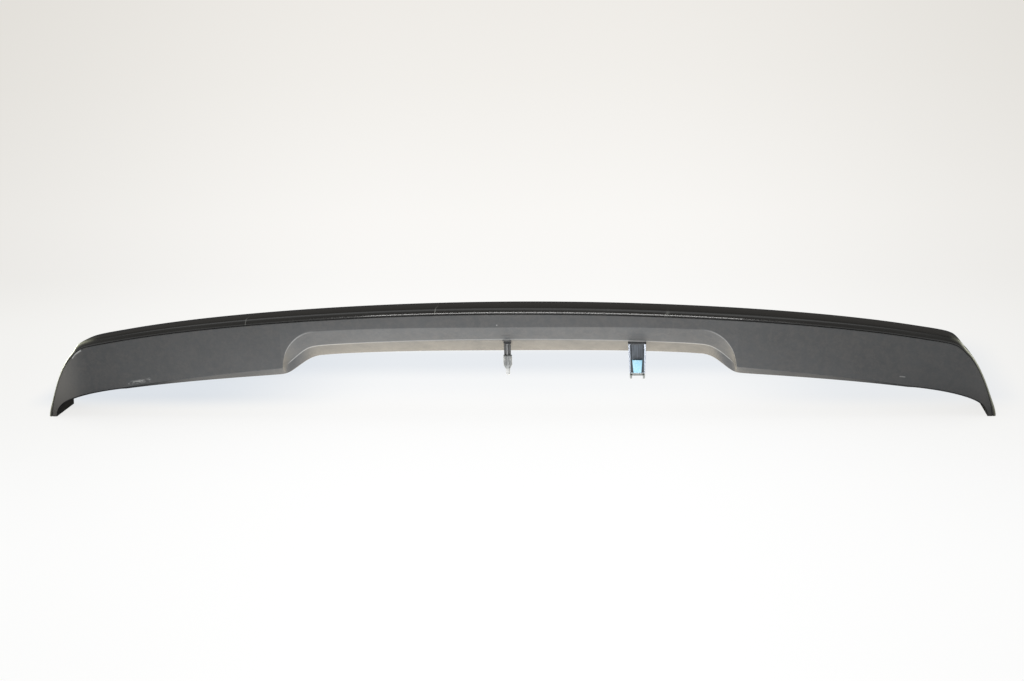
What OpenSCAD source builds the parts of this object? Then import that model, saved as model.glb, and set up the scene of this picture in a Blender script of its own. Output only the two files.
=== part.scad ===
// Tailgate spoiler: a gloss painted top skin bonded to a grained lower cover, standing on its drooping ends.
// X runs across the car, Y forward, Z up. The origin is on the ground under the middle of the part.

/* [Overall] */
// Width over both ends
overall_w = 1043.4; // [900:0.2:1200]
// Height of the seam under the top skin, in the middle
seam_h = 120.9; // [110:1:135]
// How far the seam has dropped at the reference station
crown_drop = 31.7; // [20:0.2:40]
// Extra drop of the seam where the crown turns into the shoulder
shoulder_drop = 3.5; // [1:0.1:6]
// How far the rear edge has moved forward at the reference station
plan_sag = 20.9; // [10:0.1:34]
// Distance of the reference station from the middle
ref_x = 450; // [430:5:470]
// Wall thickness of both mouldings
wall = 2.6; // [2:0.1:3]
// Gap of the bonded joint and of the shadow line
joint_gap = 0.7; // [0.4:0.1:0.9]

/* [Ends] */
// Length of each end, from the start of the shoulder to the tip
end_len = 88; // [75:1:100]
// Height at which the shoulder has become the side of the end
side_h = 65.6; // [55:0.2:72]
// How far the side leans out between that height and the ground
side_lean = 25.5; // [20:0.1:32]
// How far the tip is swept forward of the plan curve
tip_sweep = 2; // [0:0.5:6]
// Width of the foot at the tip
foot_w = 5.6; // [5.4:0.1:7]
// Radius of the outer rear edge at the ends
end_edge_r = 6; // [2:0.5:8]

/* [Top skin] */
// Depth of the top from the rear edge to the front edge, in the middle
top_depth = 86; // [76:1:100]
// Depth of the top at the tips
foot_depth = 62; // [55:1:70]
// Height of the rolled rear edge above the seam
roll_h = 5.8; // [4:0.1:7]
// Height of the rolled edge along the sides
side_roll_h = 3.6; // [3:0.1:4.4]
// How far the front edge dips below the rolled edge, in the middle
front_dip = 23.5; // [16:0.5:28]

/* [Rear face] */
// Height of the lower edge of the wings, carried on to the middle
wing_h = 62; // [56:0.2:66]
// How far that lower edge has dropped at the reference station
wing_drop = 29.5; // [24:0.5:34]
// Forward lean of the rear face, for each millimetre down
face_lean = 0.05; // [0:0.01:0.1]
// Depth of the bevel under the wings, next to the recess
chin_depth = 12; // [8:0.5:16]
// Height of that bevel
chin_h = 9.4; // [6:0.2:12]
// Rise of the underside from the bevel to the front
under_rise = 8; // [4:0.5:10]

/* [Recess] */
// Half the width of the recess at its lower corners
recess_half_w = 245.8; // [200:0.2:280]
// Radius of the recess corners
recess_r = 37; // [30:1:44]
// Distance from the seam down to the crease of the recess, in the middle
crease_drop = 15.2; // [12:0.1:20]
// Distance from the seam down to the edge between both recess faces, in the middle
edge_drop = 32.2; // [28:0.1:38]
// Distance from the seam down to the lower end of the recess, in the middle
lip_drop = 48.6; // [44:0.1:54]
// Depth of the edge between both recess faces
edge_depth = 15; // [10:0.5:20]
// Depth of the lower end of the recess
lip_depth = 38; // [34:0.5:50]

/* [Locating pin] */
// Diameter of the ribbed barrel
pin_d = 9.4; // [8:0.1:11]
// Diameter of the shaft above the barrel
pin_shaft_d = 7.6; // [6:0.1:8]
// Length from the gasket to the start of the barrel
pin_shaft_len = 12.6; // [8:0.2:16]
// Length of the straight part of the barrel
pin_barrel_len = 11; // [6:0.2:14]
// Length of the tapered part of the barrel
pin_taper_len = 5.2; // [4:0.2:9]
// Diameter of the nib at the end
pin_nib_d = 4; // [3:0.1:5]
// Length of the nib
pin_nib_len = 6; // [3:0.2:7]
// Diameter of the stem that is pressed into the cover
pin_stem_d = 5; // [4:0.1:6]
// Length of that stem
pin_stem_len = 9; // [6:0.5:12]
// Diameter of the foam gasket at the root of the pin
pin_gasket_d = 8.6; // [8:0.1:9]

/* [Spring clip] */
// Distance of the clip from the middle
clip_x = 140; // [100:1:180]
// Width of the clip at its root
clip_w = 19.4; // [15:0.1:22]
// Width of the clip at its fold
clip_fold_w = 16.4; // [13:0.1:18]
// Length of the clip from the gasket to the fold
clip_len = 35; // [28:0.5:40]
// Thickness of the spring steel
clip_t = 0.8; // [0.6:0.1:1.2]
// Thickness of the blade inside the clip
blade_t = 3; // [2.4:0.1:4]
// Length of the two feet below the fold
clip_foot_len = 3; // [2:0.1:4]
// Thickness of the foam gasket round the blade
clip_gasket_t = 2.4; // [1.6:0.1:3]

/* [Fixings] */
// Spacing of the inner pair of threaded inserts
inner_spacing = 300; // [240:5:340]
// Spacing of the outer pair of threaded inserts
outer_spacing = 660; // [600:5:720]
// Distance of the inserts from the rear edge in the middle
insert_y = 64; // [60:1:68]
// Outer diameter of an insert
insert_d = 8; // [7:0.1:9]
// Core diameter of the thread in an insert
insert_bore_d = 5; // [4:0.1:6]
// Length of an insert
insert_len = 10; // [8:0.5:12]
// Outer diameter of the boss round an insert
boss_d = 15; // [13:0.5:18]
// Drop of a boss below the underside
boss_drop = 2; // [1:0.5:4]
// Thickness of the round foam gaskets
gasket_t = 3.2; // [2:0.1:4]

/* [Front seal] */
// Width of the foam strip
seal_w = 9; // [6:0.5:12]
// Thickness of the foam strip
seal_t = 4; // [3:0.5:5]
// Distance from the middle to the ends of the strip
seal_half_len = 420; // [350:5:425]

/* [Hidden] */

// Sides of a circle in the lofted cover
$fn = 24;
// Clearance between parts that only seat on each other, and round a stem in its hole
seat_gap = 0.3;
stem_gap = 0.1;
// Clearance of a foam face on its seat
face_gap = 0.02;
// A cut starts this far outside the solid it cuts
over = 1;
// Deepest point of the skin's outer side beyond the line of the seam
skin_bulge = side_roll_h + 0.3;
// The arch is drawn this far inside the outer surface
arch_half_w = overall_w / 2 - skin_bulge;
end_start_x = overall_w / 2 - end_len;
// Steps along the shoulder and along the side
shoulder_steps = 8;
side_steps = 9;

function mix(a, b, t) = a + (b - a) * t;
function clamp01(t) = min(1, max(0, t));
function ease(t) = let (c = clamp01(t)) c * c * (3 - 2 * c);
function smooth_max(a, b, k) = (a + b + sqrt((a - b) * (a - b) + k * k)) / 2;
function bezier(p, t) = let (s = 1 - t)
    s * s * s * p[0] + 3 * s * s * t * p[1] + 3 * s * t * t * p[2] + t * t * t * p[3];

// Height of the seam and of the wings' lower edge at a distance x from the middle
function seam_z(x) = seam_h - crown_drop * pow(x / ref_x, 2) - shoulder_drop * pow(x / ref_x, 8);
// Share of the extra drop that the lower edge takes
wing_share = 0.56;
function wing_z(x) = wing_h - wing_drop * pow(x / ref_x, 2) - wing_share * shoulder_drop * pow(x / ref_x, 8);
function plan_y(x) = plan_sag * pow(x / ref_x, 2);
// Slope of both curves where the end begins
slope_step = 0.01;
seam_slope = (seam_z(end_start_x + slope_step) - seam_z(end_start_x)) / slope_step;
wing_slope = (wing_z(end_start_x + slope_step) - wing_z(end_start_x)) / slope_step;

// The end of the arch, seen from behind: the shoulder turns down, then the side runs to the ground.
// A reach is the share of the length that a curve's handle takes.
shoulder_reach = 0.57;
lower_reach = 0.61;
// Handle above the start of the side, across and up
side_handle = [16.2, 15.8];
// The side's two handles: share of the lean, share of the height
side_upper = [0.58, 0.71];
side_lower = [0.08, 0.25];
side_x = arch_half_w - side_lean;
shoulder_curve = [
    [end_start_x, seam_z(end_start_x)],
    [end_start_x + shoulder_reach * end_len, seam_z(end_start_x) + shoulder_reach * end_len * seam_slope],
    [side_x - side_handle[0], side_h + side_handle[1]],
    [side_x, side_h]];
side_curve = [
    [side_x, side_h],
    [side_x + side_upper[0] * side_lean, side_h * side_upper[1]],
    [arch_half_w - side_lower[0] * side_lean, side_h * side_lower[1]],
    [arch_half_w, 0]];
// The lower edge of the rear face from the same station to the inside of the foot
lower_curve = [
    [end_start_x, wing_z(end_start_x)],
    [end_start_x + lower_reach * end_len, wing_z(end_start_x) + lower_reach * end_len * wing_slope],
    [arch_half_w - foot_w, side_h * side_lower[1]],
    [arch_half_w - foot_w, 0]];

// Share of the bevel that is left at x: full next to the recess, nearly gone at the ends
chin_left = 0.1;
function chin_share(x) = mix(1, chin_left, clamp01((x - recess_half_w) / (ref_x - recess_half_w)));
// Quarter-ellipse fall of a recess line from its level part, by a at most at distance r
function corner_fall(x, x0, a, r) = let (u = clamp01((x - x0) / r)) a * (1 - sqrt(1 - u * u));

// Section of the cover across the crown: [seam point, lower point, crease, edge, lip], the last three as
// [depth, distance below the seam]
recess_x0 = recess_half_w - recess_r - 1;
// Step between a crease and the edge next to it where both run together
crease_step = 0.5;
// How much nearer to the seam the crease, the edge and the lower end are at the corners than in the middle
crease_rise = 2.4;
edge_rise = 1.1;
recess_rise = 2;
// Where the edge and the lower end start to fall at a corner, and how steeply they run there
edge_bend = [12.3, 0.8];
lip_bend = [13.3, 0.68];
bend_soft = 8;
function corner_bend(x, bend) = let (u = x - recess_x0 - bend[0])
    bend[1] * (u + sqrt(u * u + bend_soft * bend_soft)) / 2;
// Half of the rounding where the recess meets the bevel, and how far it fades out
lip_round = 3;
lip_fade = 60;
function wing_lip_z(x) = wing_z(x) - 0.25 * chin_depth * chin_share(x);
function wing_crease_z(x) = wing_lip_z(x) + chin_h * chin_share(x) + crease_step;
crease_fall = seam_z(recess_half_w) - crease_drop + crease_rise - wing_crease_z(recess_half_w);
function crease_z(x) = x >= recess_half_w ? wing_crease_z(x)
    : seam_z(x) - crease_drop + crease_rise * ease(x / recess_x0)
      - corner_fall(x, recess_half_w - recess_r, crease_fall, recess_r);
function edge_z(x) = x >= recess_half_w ? wing_crease_z(x) - crease_step
    : max(seam_z(x) - edge_drop + edge_rise * ease(x / recess_x0) - corner_bend(x, edge_bend),
        wing_crease_z(x) - crease_step);
function lip_z(x) = smooth_max(
    seam_z(x) - lip_drop + recess_rise * ease(x / recess_x0) - corner_bend(x, lip_bend),
    wing_lip_z(x),
    x > recess_x0 && x < ref_x ? lip_round * (1 - clamp01((x - recess_half_w) / lip_fade)) : 0);
function crease_depth(x) = face_lean * (seam_z(x) - crease_z(x));
function edge_depth_at(x) = crease_depth(x)
    + (edge_depth - face_lean * crease_drop) * (crease_z(x) - edge_z(x)) / (edge_drop - crease_drop);
function lip_depth_at(x) = mix(lip_depth, crease_depth(x) + chin_depth * chin_share(x),
    ease((x - recess_x0) / (recess_r + 6)));

// Share of the front edge's dip at x, and the height of an end over which it fades
dip_fall = 0.53;
function dip_share(x) = 1 - dip_fall * pow(x / ref_x, 2);
dip_fade = 38;
// Stations of the right half. Each is [seam point, lower point, crease, edge, lip, share of the dip]
function crown_station(x) = let (s = seam_z(x), lip = lip_z(x)) [
    [x, s], [x, lip],
    [crease_depth(x), s - crease_z(x)],
    [edge_depth_at(x), s - edge_z(x)],
    [lip_depth_at(x), s - lip],
    dip_share(x)];
function end_station(i) = let (
    on_side = i > shoulder_steps,
    seam = on_side ? bezier(side_curve, (i - shoulder_steps) / side_steps)
        : bezier(shoulder_curve, i / shoulder_steps),
    low = bezier(lower_curve, i / (shoulder_steps + side_steps)),
    len = norm(seam - low),
    chin = min(1, len / 30) * chin_depth * chin_share(end_start_x),
    x = seam[0]) [
    seam, low,
    [face_lean * len, len - 0.8 * chin - 0.16],
    [face_lean * len + 0.35 * chin, len - 0.4 * chin - 0.08],
    [face_lean * len + chin, len],
    max(0.04, dip_share(x)) * clamp01((len - foot_w) / dip_fade + 0.1)];

crown_xs = [
    for (x = [0 : 30 : recess_x0 - 15]) x,
    for (k = [0 : 1 : 11]) recess_x0 - 2 + k * (recess_r - 2) / 11,
    for (k = [1 : 1 : 5]) recess_half_w - 3 + k * 1.2,
    recess_half_w + 8, recess_half_w + 16, recess_half_w + 26,
    for (k = [1 : 1 : 6]) mix(recess_half_w + 26, end_start_x, k / 7)];
right_half = concat([for (x = crown_xs) crown_station(x)],
    [for (i = [0 : 1 : shoulder_steps + side_steps]) end_station(i)]);
half_n = len(right_half);

// Depth of the top at a station, and the plan curve with the swept tips
function depth_at(st) = mix(top_depth, foot_depth, clamp01(pow(st[0][0] / arch_half_w, 2)));
function plan_at(st) = plan_y(st[0][0]) + tip_sweep * clamp01(1 - st[0][1] / side_h);
// A point of a section: depth y and distance t from the seam towards the lower edge
function place(st, side, p) = let (d = (st[1] - st[0]) / norm(st[1] - st[0])) [
    side * (st[0][0] + d[0] * p[1]),
    plan_at(st) + p[0],
    st[0][1] + d[1] * p[1]];

// Height of the rolled edge at a station: it thins over the last stretch of the shoulder
roll_fade = 13.7;
function roll_at(st) = mix(roll_h, side_roll_h, ease((st[0][0] - side_x + roll_fade) / (roll_fade - 1)));

function backwards(v) = [for (i = [len(v) - 1 : -1 : 0]) v[i]];

// Closed solid through equal sections, from the left tip to the right tip
module loft(sections) {
    n = len(sections);
    m = len(sections[0]);
    points = [for (s = sections) for (p = s) p];
    sides = [for (i = [0 : n - 2]) for (j = [0 : m - 1]) let (
        a = i * m + j, b = i * m + (j + 1) % m, c = a + m, d = b + m)
        for (tri = [[a, b, d], [a, d, c]]) tri];
    start = [for (j = [m - 1 : -1 : 0]) j];
    end = [for (j = [0 : m - 1]) (n - 1) * m + j];
    polyhedron(points = points, faces = concat([start], sides, [end]), convexity = 10);
}
// Sections of both halves, the left one mirrored
function both_halves(outline_of, first, last) = concat(
    [for (i = [last : -1 : 1]) let (st = right_half[i]) [for (p = outline_of(st)) place(st, -1, p)]],
    [for (i = [first : 1 : last]) let (st = right_half[i]) [for (p = outline_of(st)) place(st, 1, p)]]);

// How far the inner side stays above the seam behind the rear edge, where the rolled edge is thin
inner_up = 0.3;
// Outline of the skin's section: outer side from the seam to the front lip, then back along the inner side
function skin_outline(st) = let (
    d = depth_at(st), f = st[5], t = wall, top = roll_at(st), dip = front_dip * f) [
    [0, 0],
    [0.1, -0.42 * top],
    [0.9, -0.8 * top],
    [2.6, -top],
    [0.10 * d, -top - 0.2],
    [0.30 * d, -top + 0.015 * dip],
    [0.52 * d, -top + 0.09 * dip],
    [0.70 * d, -top + 0.19 * dip],
    [0.83 * d, -top + 0.35 * dip],
    [0.93 * d, -top + 0.56 * dip],
    [d - 0.6, -top + 0.78 * dip],
    [d, -top + dip],
    [d - t, -top + dip + 0.15 * t],
    [d - t - 0.5, -top + 0.82 * dip + 0.5 * t],
    [0.93 * d - 0.5 * t * f, -top + 0.56 * dip + 0.9 * t],
    [0.83 * d - 0.35 * t * f, -top + 0.35 * dip + 0.95 * t],
    [0.70 * d, -top + 0.19 * dip + t],
    [0.52 * d, -top + 0.09 * dip + t],
    [0.30 * d, -top + 0.015 * dip + t],
    [0.10 * d, min(-top - 0.2 + t, -1.3 * inner_up)],
    [wall + 0.4, min(-top + t, -inner_up)],
    [wall, 0]];

// Side gap of the tongue that stands up inside the skin, and how far it reaches above the seam at least
tongue_gap = 0.3;
tongue_reach = 0.05;
// Outline of the cover's section: rear face, recess or bevel, underside, front wall, then the inner side
function cover_outline(st) = let (
    length = st[4][1],
    near_tip = clamp01((length - foot_w) / 24),
    t = mix(0.32 * foot_w, wall, near_tip),
    r = min(mix(1.2, end_edge_r, clamp01((st[0][0] - end_start_x) / (0.5 * end_len))), 0.3 * length),
    front = depth_at(st) - wall - joint_gap,
    dip = front_dip * st[5],
    bottom = length - under_rise * near_tip,
    top_in = -roll_at(st) + 0.82 * dip + 0.5 * wall + joint_gap,
    wall_top = min(top_in + 2.2, bottom - 1.4 * t),
    tongue = [max(r, wall + joint_gap) + tongue_gap, joint_gap + min(-tongue_reach, wall - roll_at(st))],
    k = st[2], e = st[3], c = st[4]) [
    [r, joint_gap],
    [0.3 * r, joint_gap + 0.3 * r],
    [face_lean * r, joint_gap + r],
    k, e, c,
    [front - 2.5 * near_tip, bottom],
    [front, bottom - 2.5 * near_tip - 0.2],
    [front, wall_top],
    [front - t, wall_top],
    [front - t, bottom - t],
    [c[0] + 0.4 * t, c[1] - t - 0.1 * t * near_tip],
    [e[0] + 0.8 * t, min(e[1] - 0.45 * t, c[1] - 1.3 * t)],
    [k[0] + t, min(k[1] - 0.3 * t, c[1] - 1.6 * t)],
    [0.6 * r + t, min(joint_gap + t, c[1] - 2 * t)],
    [r + 6 * near_tip + t, min(joint_gap + t, c[1] - 2.2 * t)],
    [r + 6 * near_tip + t, tongue[1]],
    tongue,
    [tongue[0], joint_gap]];

// Places of the fixings: behind the edge of the recess, with their roots just below it
pin_pad_d = pin_d + 3;
pin_y = edge_depth + pin_d / 2 - 0.4;
root_z = seam_h - edge_drop - 1.2;
clip_root_z = edge_z(clip_x) - 0.6;
// Depth of the pad that carries the clip's gasket
pad_depth = blade_t + 4.8;
pad_t = 5;
clip_y = plan_y(clip_x) + edge_depth + pad_depth / 2 + 0.3;
blade_w = clip_fold_w - 4.4;
// Height below the roots that is faced flat for the gaskets
facing_h = 12;
// Height of the underside at an insert
function under_z(x, y) = let (
    lip_y = plan_y(x) + lip_depth_at(x),
    front_y = plan_y(x) + mix(top_depth, foot_depth, pow(x / arch_half_w, 2)) - wall - joint_gap)
    lip_z(x) + under_rise * (y - lip_y) / (front_y - lip_y);
function insert_at(spacing) = [spacing / 2, insert_y, under_z(spacing / 2, insert_y) - boss_drop];
insert_places = [insert_at(inner_spacing), insert_at(outer_spacing)];

// The parts are drawn from the rear edge in the middle, then moved so that the origin is under their middle
middle_y = (plan_y(arch_half_w) + tip_sweep + foot_depth) / 2;
module in_frame() {
    translate([0, -middle_y, 0]) children();
}
module at_inserts() {
    for (p = insert_places)
        for (side = [-1, 1])
            translate([side * p[0], p[1], p[2]]) children();
}

module top_skin() {
    color([0.13, 0.125, 0.12]) loft(both_halves(function(st) skin_outline(st), 0, half_n - 1));
}

module rear_cover() {
    color([0.33, 0.33, 0.33]) difference() {
        union() {
            loft(both_halves(function(st) backwards(cover_outline(st)), 0, half_n - 1));
            pin_boss();
            clip_blade();
            at_inserts() cylinder(h = insert_len + boss_drop, d = boss_d);
        }
        translate([0, pin_y, root_z - facing_h]) cylinder(h = facing_h, d = pin_d + 2 * seat_gap);
        translate([0, pin_y, root_z - over])
            cylinder(h = pin_stem_len + over + seat_gap, d = pin_stem_d + 2 * stem_gap);
        clip_facing();
        at_inserts() translate([0, 0, -over])
            cylinder(h = insert_len + over + seat_gap, d = insert_d + 2 * stem_gap);
    }
}

// Boss on the lower recess face that takes the stem of the pin
module pin_boss() {
    translate([0, pin_y, root_z]) cylinder(h = pin_stem_len + wall, d = pin_pad_d);
}

// Blade that the spring clip is pushed on, with its foot inside the cover
module clip_blade() {
    nose_w = blade_w - 4;
    nose_h = 3;
    tip_z = -clip_gasket_t - clip_len + clip_t + seat_gap;
    translate([clip_x, clip_y, clip_root_z]) {
        translate([-clip_w / 2, -pad_depth / 2, 0]) cube([clip_w, pad_depth, pad_t]);
        translate([0, blade_t / 2, 0]) rotate([90, 0, 0]) linear_extrude(blade_t) polygon([
            [-blade_w / 2, over], [blade_w / 2, over],
            [blade_w / 2, tip_z + nose_h], [nose_w / 2, tip_z],
            [-nose_w / 2, tip_z], [-blade_w / 2, tip_z + nose_h]]);
    }
}
// Room for the clip's gasket and legs beside the blade
module clip_facing() {
    translate([clip_x, clip_y, clip_root_z - facing_h]) difference() {
        translate([-clip_w / 2 - seat_gap, -pad_depth / 2 - seat_gap, 0])
            cube([clip_w + 2 * seat_gap, pad_depth + 2 * seat_gap, facing_h]);
        translate([-blade_w / 2, -blade_t / 2, -over]) cube([blade_w, blade_t, facing_h + 2 * over]);
    }
}

// Plastic locating pin: stem, collar, cross-ribbed shaft, fluted barrel, taper and nib
pin_collar_h = 1.2;
pin_rib_t = 2.2;
module centre_pin() {
    shaft_end = -gasket_t - pin_shaft_len;
    barrel_end = shaft_end - pin_barrel_len;
    taper_end = barrel_end - pin_taper_len;
    nib_end = taper_end - pin_nib_len;
    step = 0.9;
    nib_round = 1.2;
    color([0.5, 0.5, 0.5]) translate([0, pin_y, root_z]) difference() {
        union() {
            translate([0, 0, -gasket_t]) cylinder(h = gasket_t + pin_stem_len, d = pin_stem_d);
            translate([0, 0, -gasket_t - pin_collar_h]) cylinder(h = pin_collar_h, d = pin_shaft_d);
            intersection() {
                translate([0, 0, shaft_end]) cylinder(h = pin_shaft_len - pin_collar_h, d = pin_shaft_d);
                for (a = [0, 90])
                    rotate([0, 0, a]) translate([-pin_rib_t / 2, -pin_d, shaft_end])
                        cube([pin_rib_t, 2 * pin_d, pin_shaft_len]);
            }
            rotate_extrude() polygon([
                [0, shaft_end], [pin_shaft_d / 2, shaft_end], [pin_d / 2, shaft_end - step],
                [pin_d / 2, barrel_end], [pin_nib_d / 2, taper_end],
                [pin_nib_d / 2, nib_end + nib_round], [pin_nib_d / 4, nib_end], [0, nib_end]]);
        }
        flutes(mix(barrel_end, shaft_end, 0.4), taper_end);
    }
}

// Four V flutes along the lower barrel
module flutes(from, to) {
    depth = 1.6;
    for (a = [45 : 90 : 315])
        rotate([0, 0, a]) translate([pin_d / 2 - depth, 0, to]) linear_extrude(from - to)
            polygon([[0, 0], [2 * depth, -depth], [2 * depth, depth]]);
}

module pin_gasket() {
    color([0.08, 0.08, 0.08]) translate([0, pin_y, root_z - gasket_t]) difference() {
        cylinder(h = gasket_t - face_gap, d = pin_gasket_d);
        translate([0, 0, -over]) cylinder(h = gasket_t + 2 * over, d = pin_stem_d + 2 * stem_gap);
    }
}

// Folded spring steel: a front leg with a window and a tongue, a fold, and a back leg
module spring_clip() {
    front_y = -blade_t / 2 - seat_gap - clip_t;
    back_y = blade_t / 2 + seat_gap;
    color([0.72, 0.76, 0.8]) translate([clip_x, clip_y, clip_root_z - clip_gasket_t]) {
        difference() {
            translate([0, front_y + clip_t, 0]) rotate([90, 0, 0]) linear_extrude(clip_t) clip_leg();
            translate([0, front_y + clip_t + over, 0])
                rotate([90, 0, 0]) linear_extrude(clip_t + 2 * over) clip_window();
        }
        translate([0, back_y + clip_t, 0]) rotate([90, 0, 0]) linear_extrude(clip_t) clip_leg();
        translate([-clip_fold_w / 2, front_y, -clip_len])
            cube([clip_fold_w, back_y - front_y + clip_t, clip_t]);
        clip_rims(front_y);
        clip_tongue(front_y);
    }
}
module clip_leg() {
    polygon([
        [-clip_w / 2, 0], [clip_w / 2, 0],
        [clip_fold_w / 2, -clip_len], [-clip_fold_w / 2, -clip_len]]);
}
// Strip left beside the window, bridge above it, and the height of the nose below it
clip_strip = 2;
clip_bridge = 0.8;
clip_nose_h = 3.2;
clip_window_top = -clip_bridge;
clip_window_low = -clip_len + clip_nose_h;
module clip_window() {
    polygon([
        [-clip_w / 2 + clip_strip, clip_window_top], [clip_w / 2 - clip_strip, clip_window_top],
        [clip_fold_w / 2 - clip_strip, clip_window_low], [-clip_fold_w / 2 + clip_strip, clip_window_low]]);
}
// Turned rims along both sides of the front leg, with the feet below the fold
module clip_rims(front_y) {
    rim_depth = 2;
    foot_in = 2.4;
    foot_taper = 0.3;
    foot_end = -clip_len - clip_foot_len;
    for (side = [0, 1])
        mirror([side, 0, 0])
            translate([0, front_y, 0]) rotate([90, 0, 0]) linear_extrude(rim_depth) polygon([
                [clip_w / 2 - clip_t, 0], [clip_w / 2, 0],
                [clip_fold_w / 2, -clip_len], [clip_fold_w / 2 - foot_taper, foot_end],
                [clip_fold_w / 2 - foot_in, foot_end], [clip_fold_w / 2 - foot_in, -clip_len + clip_t],
                [clip_fold_w / 2 - clip_t, -clip_len + clip_t]]);
}
// Sprung tongue that leans out of the window
module clip_tongue(front_y) {
    tongue_h = (clip_window_top - clip_window_low) * 0.47;
    lean = 2.6;
    top_w = clip_w - 8.6;
    low_w = clip_fold_w - 8;
    translate([0, front_y, clip_window_low - seat_gap]) rotate([atan(lean / tongue_h), 0, 0])
        translate([0, clip_t, 0]) rotate([90, 0, 0]) linear_extrude(clip_t)
            polygon([[-low_w / 2, 0], [low_w / 2, 0], [top_w / 2, tongue_h], [-top_w / 2, tongue_h]]);
}

module clip_gasket() {
    color([0.08, 0.08, 0.08]) translate([clip_x, clip_y, clip_root_z - clip_gasket_t]) difference() {
        translate([-clip_w / 2, -pad_depth / 2, face_gap])
            cube([clip_w, pad_depth, clip_gasket_t - 2 * face_gap]);
        translate([-blade_w / 2 - stem_gap, -blade_t / 2 - stem_gap, -over])
            cube([blade_w + 2 * stem_gap, blade_t + 2 * stem_gap, clip_gasket_t + 2 * over]);
    }
}

// Brass inserts with ring grooves and a core bore
module threaded_inserts() {
    flange_t = 3;
    groove_h = 0.8;
    groove_depth = 0.4;
    pitch = 3.4;
    color([0.75, 0.6, 0.3]) at_inserts() difference() {
        cylinder(h = insert_len, d = insert_d);
        translate([0, 0, -over]) cylinder(h = insert_len + 2 * over, d = insert_bore_d);
        for (z = [flange_t : pitch : insert_len - 2 * groove_h])
            translate([0, 0, z]) difference() {
                cylinder(h = groove_h, d = insert_d + over);
                translate([0, 0, -over]) cylinder(h = groove_h + 2 * over, d = insert_d - 2 * groove_depth);
            }
    }
}

// Foam rings under the bosses
module insert_gaskets() {
    color([0.1, 0.1, 0.1]) at_inserts() translate([0, 0, -gasket_t]) difference() {
        cylinder(h = gasket_t - face_gap, d = boss_d + 3);
        translate([0, 0, -over]) cylinder(h = gasket_t + 2 * over, d = insert_bore_d + 2);
    }
}

// Foam strip on the front wall, just under the lip of the skin
function seal_outline(st) = let (
    front = depth_at(st) - wall - joint_gap + face_gap,
    top = -roll_at(st) + front_dip * st[5] + 0.15 * wall + over) [
    [front, top], [front + 0.8 * seal_t, top + 0.12 * seal_w], [front + seal_t, top + 0.4 * seal_w],
    [front + 0.9 * seal_t, top + 0.8 * seal_w], [front, top + seal_w]];
seal_last = max([for (i = [0 : half_n - 1]) if (right_half[i][0][0] <= seal_half_len) i]);
module front_seal() {
    color([0.1, 0.1, 0.1]) loft(both_halves(function(st) seal_outline(st), 0, seal_last));
}

in_frame() top_skin();
in_frame() rear_cover();
in_frame() centre_pin();
in_frame() pin_gasket();
in_frame() spring_clip();
in_frame() clip_gasket();
in_frame() threaded_inserts();
in_frame() insert_gaskets();
in_frame() front_seal();
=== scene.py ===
"""Looks of the tailgate spoiler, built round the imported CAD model.

The gloss skin and the grained cover are extruded section by section along the same curves as the CAD model.
Sizes are in millimetres unless a name ends in _m or _deg. X runs across the car, Y forward, Z up. The curves are
those of the right half, and both mouldings are mirrored to the left.
"""
import logging
import math
from dataclasses import dataclass, field
from enum import Enum
from typing import Callable, Sequence

import bmesh
import bpy
from mathutils import Matrix, Vector


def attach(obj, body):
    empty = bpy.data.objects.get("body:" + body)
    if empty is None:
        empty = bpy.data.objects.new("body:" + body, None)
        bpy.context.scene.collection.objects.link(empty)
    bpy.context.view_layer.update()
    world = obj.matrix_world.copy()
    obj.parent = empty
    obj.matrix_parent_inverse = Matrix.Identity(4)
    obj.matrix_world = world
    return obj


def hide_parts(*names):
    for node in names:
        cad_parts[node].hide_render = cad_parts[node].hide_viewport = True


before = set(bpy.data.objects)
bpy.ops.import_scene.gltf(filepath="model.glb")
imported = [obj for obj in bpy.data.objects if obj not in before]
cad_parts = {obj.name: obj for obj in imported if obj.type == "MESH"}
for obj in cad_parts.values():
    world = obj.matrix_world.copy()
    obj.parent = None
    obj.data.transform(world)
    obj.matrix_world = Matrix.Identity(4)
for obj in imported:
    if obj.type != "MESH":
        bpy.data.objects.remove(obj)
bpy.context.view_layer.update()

LOG = logging.getLogger("spoiler")
MM = 0.001
Point2 = tuple[float, float]
Point3 = tuple[float, float, float]
Color = tuple[float, float, float]
QUARTER = math.pi / 2
MERGE_M = 1e-6


def mix(a: float, b: float, t: float) -> float:
    """Value between a and b at share t."""
    return a + (b - a) * t


def clamp01(t: float) -> float:
    """t kept between 0 and 1."""
    return min(1.0, max(0.0, t))


def ease(t: float) -> float:
    """Smooth step of t between 0 and 1."""
    c = clamp01(t)
    return c * c * (3 - 2 * c)


def bezier(p: Sequence[Point2], t: float) -> Point2:
    """Point of a cubic Bezier curve.

    Args:
        p: The four control points.
        t: Place along the curve, 0 to 1.

    Returns:
        The point.
    """
    s = 1 - t
    w = (s * s * s, 3 * s * s * t, 3 * s * t * t, t * t * t)
    return tuple(sum(w[i] * p[i][k] for i in range(4)) for k in range(2))


def catmull(points: Sequence[Point2], steps: int) -> list[Point2]:
    """Smooth polyline through points.

    Args:
        points: Points that the line passes.
        steps: Pieces that each stretch is cut in.

    Returns:
        The points of the polyline, both ends included.
    """
    out: list[Point2] = []
    last = len(points) - 1
    for i in range(last):
        a, b = points[max(0, i - 1)], points[i]
        c, d = points[i + 1], points[min(last, i + 2)]
        for k in range(steps):
            t = k / steps
            out.append(tuple(
                0.5 * (2 * b[n] + (c[n] - a[n]) * t + (2 * a[n] - 5 * b[n] + 4 * c[n] - d[n]) * t * t
                       + (3 * b[n] - a[n] - 3 * c[n] + d[n]) * t ** 3) for n in range(2)))
    out.append(points[last])
    return out


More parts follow.
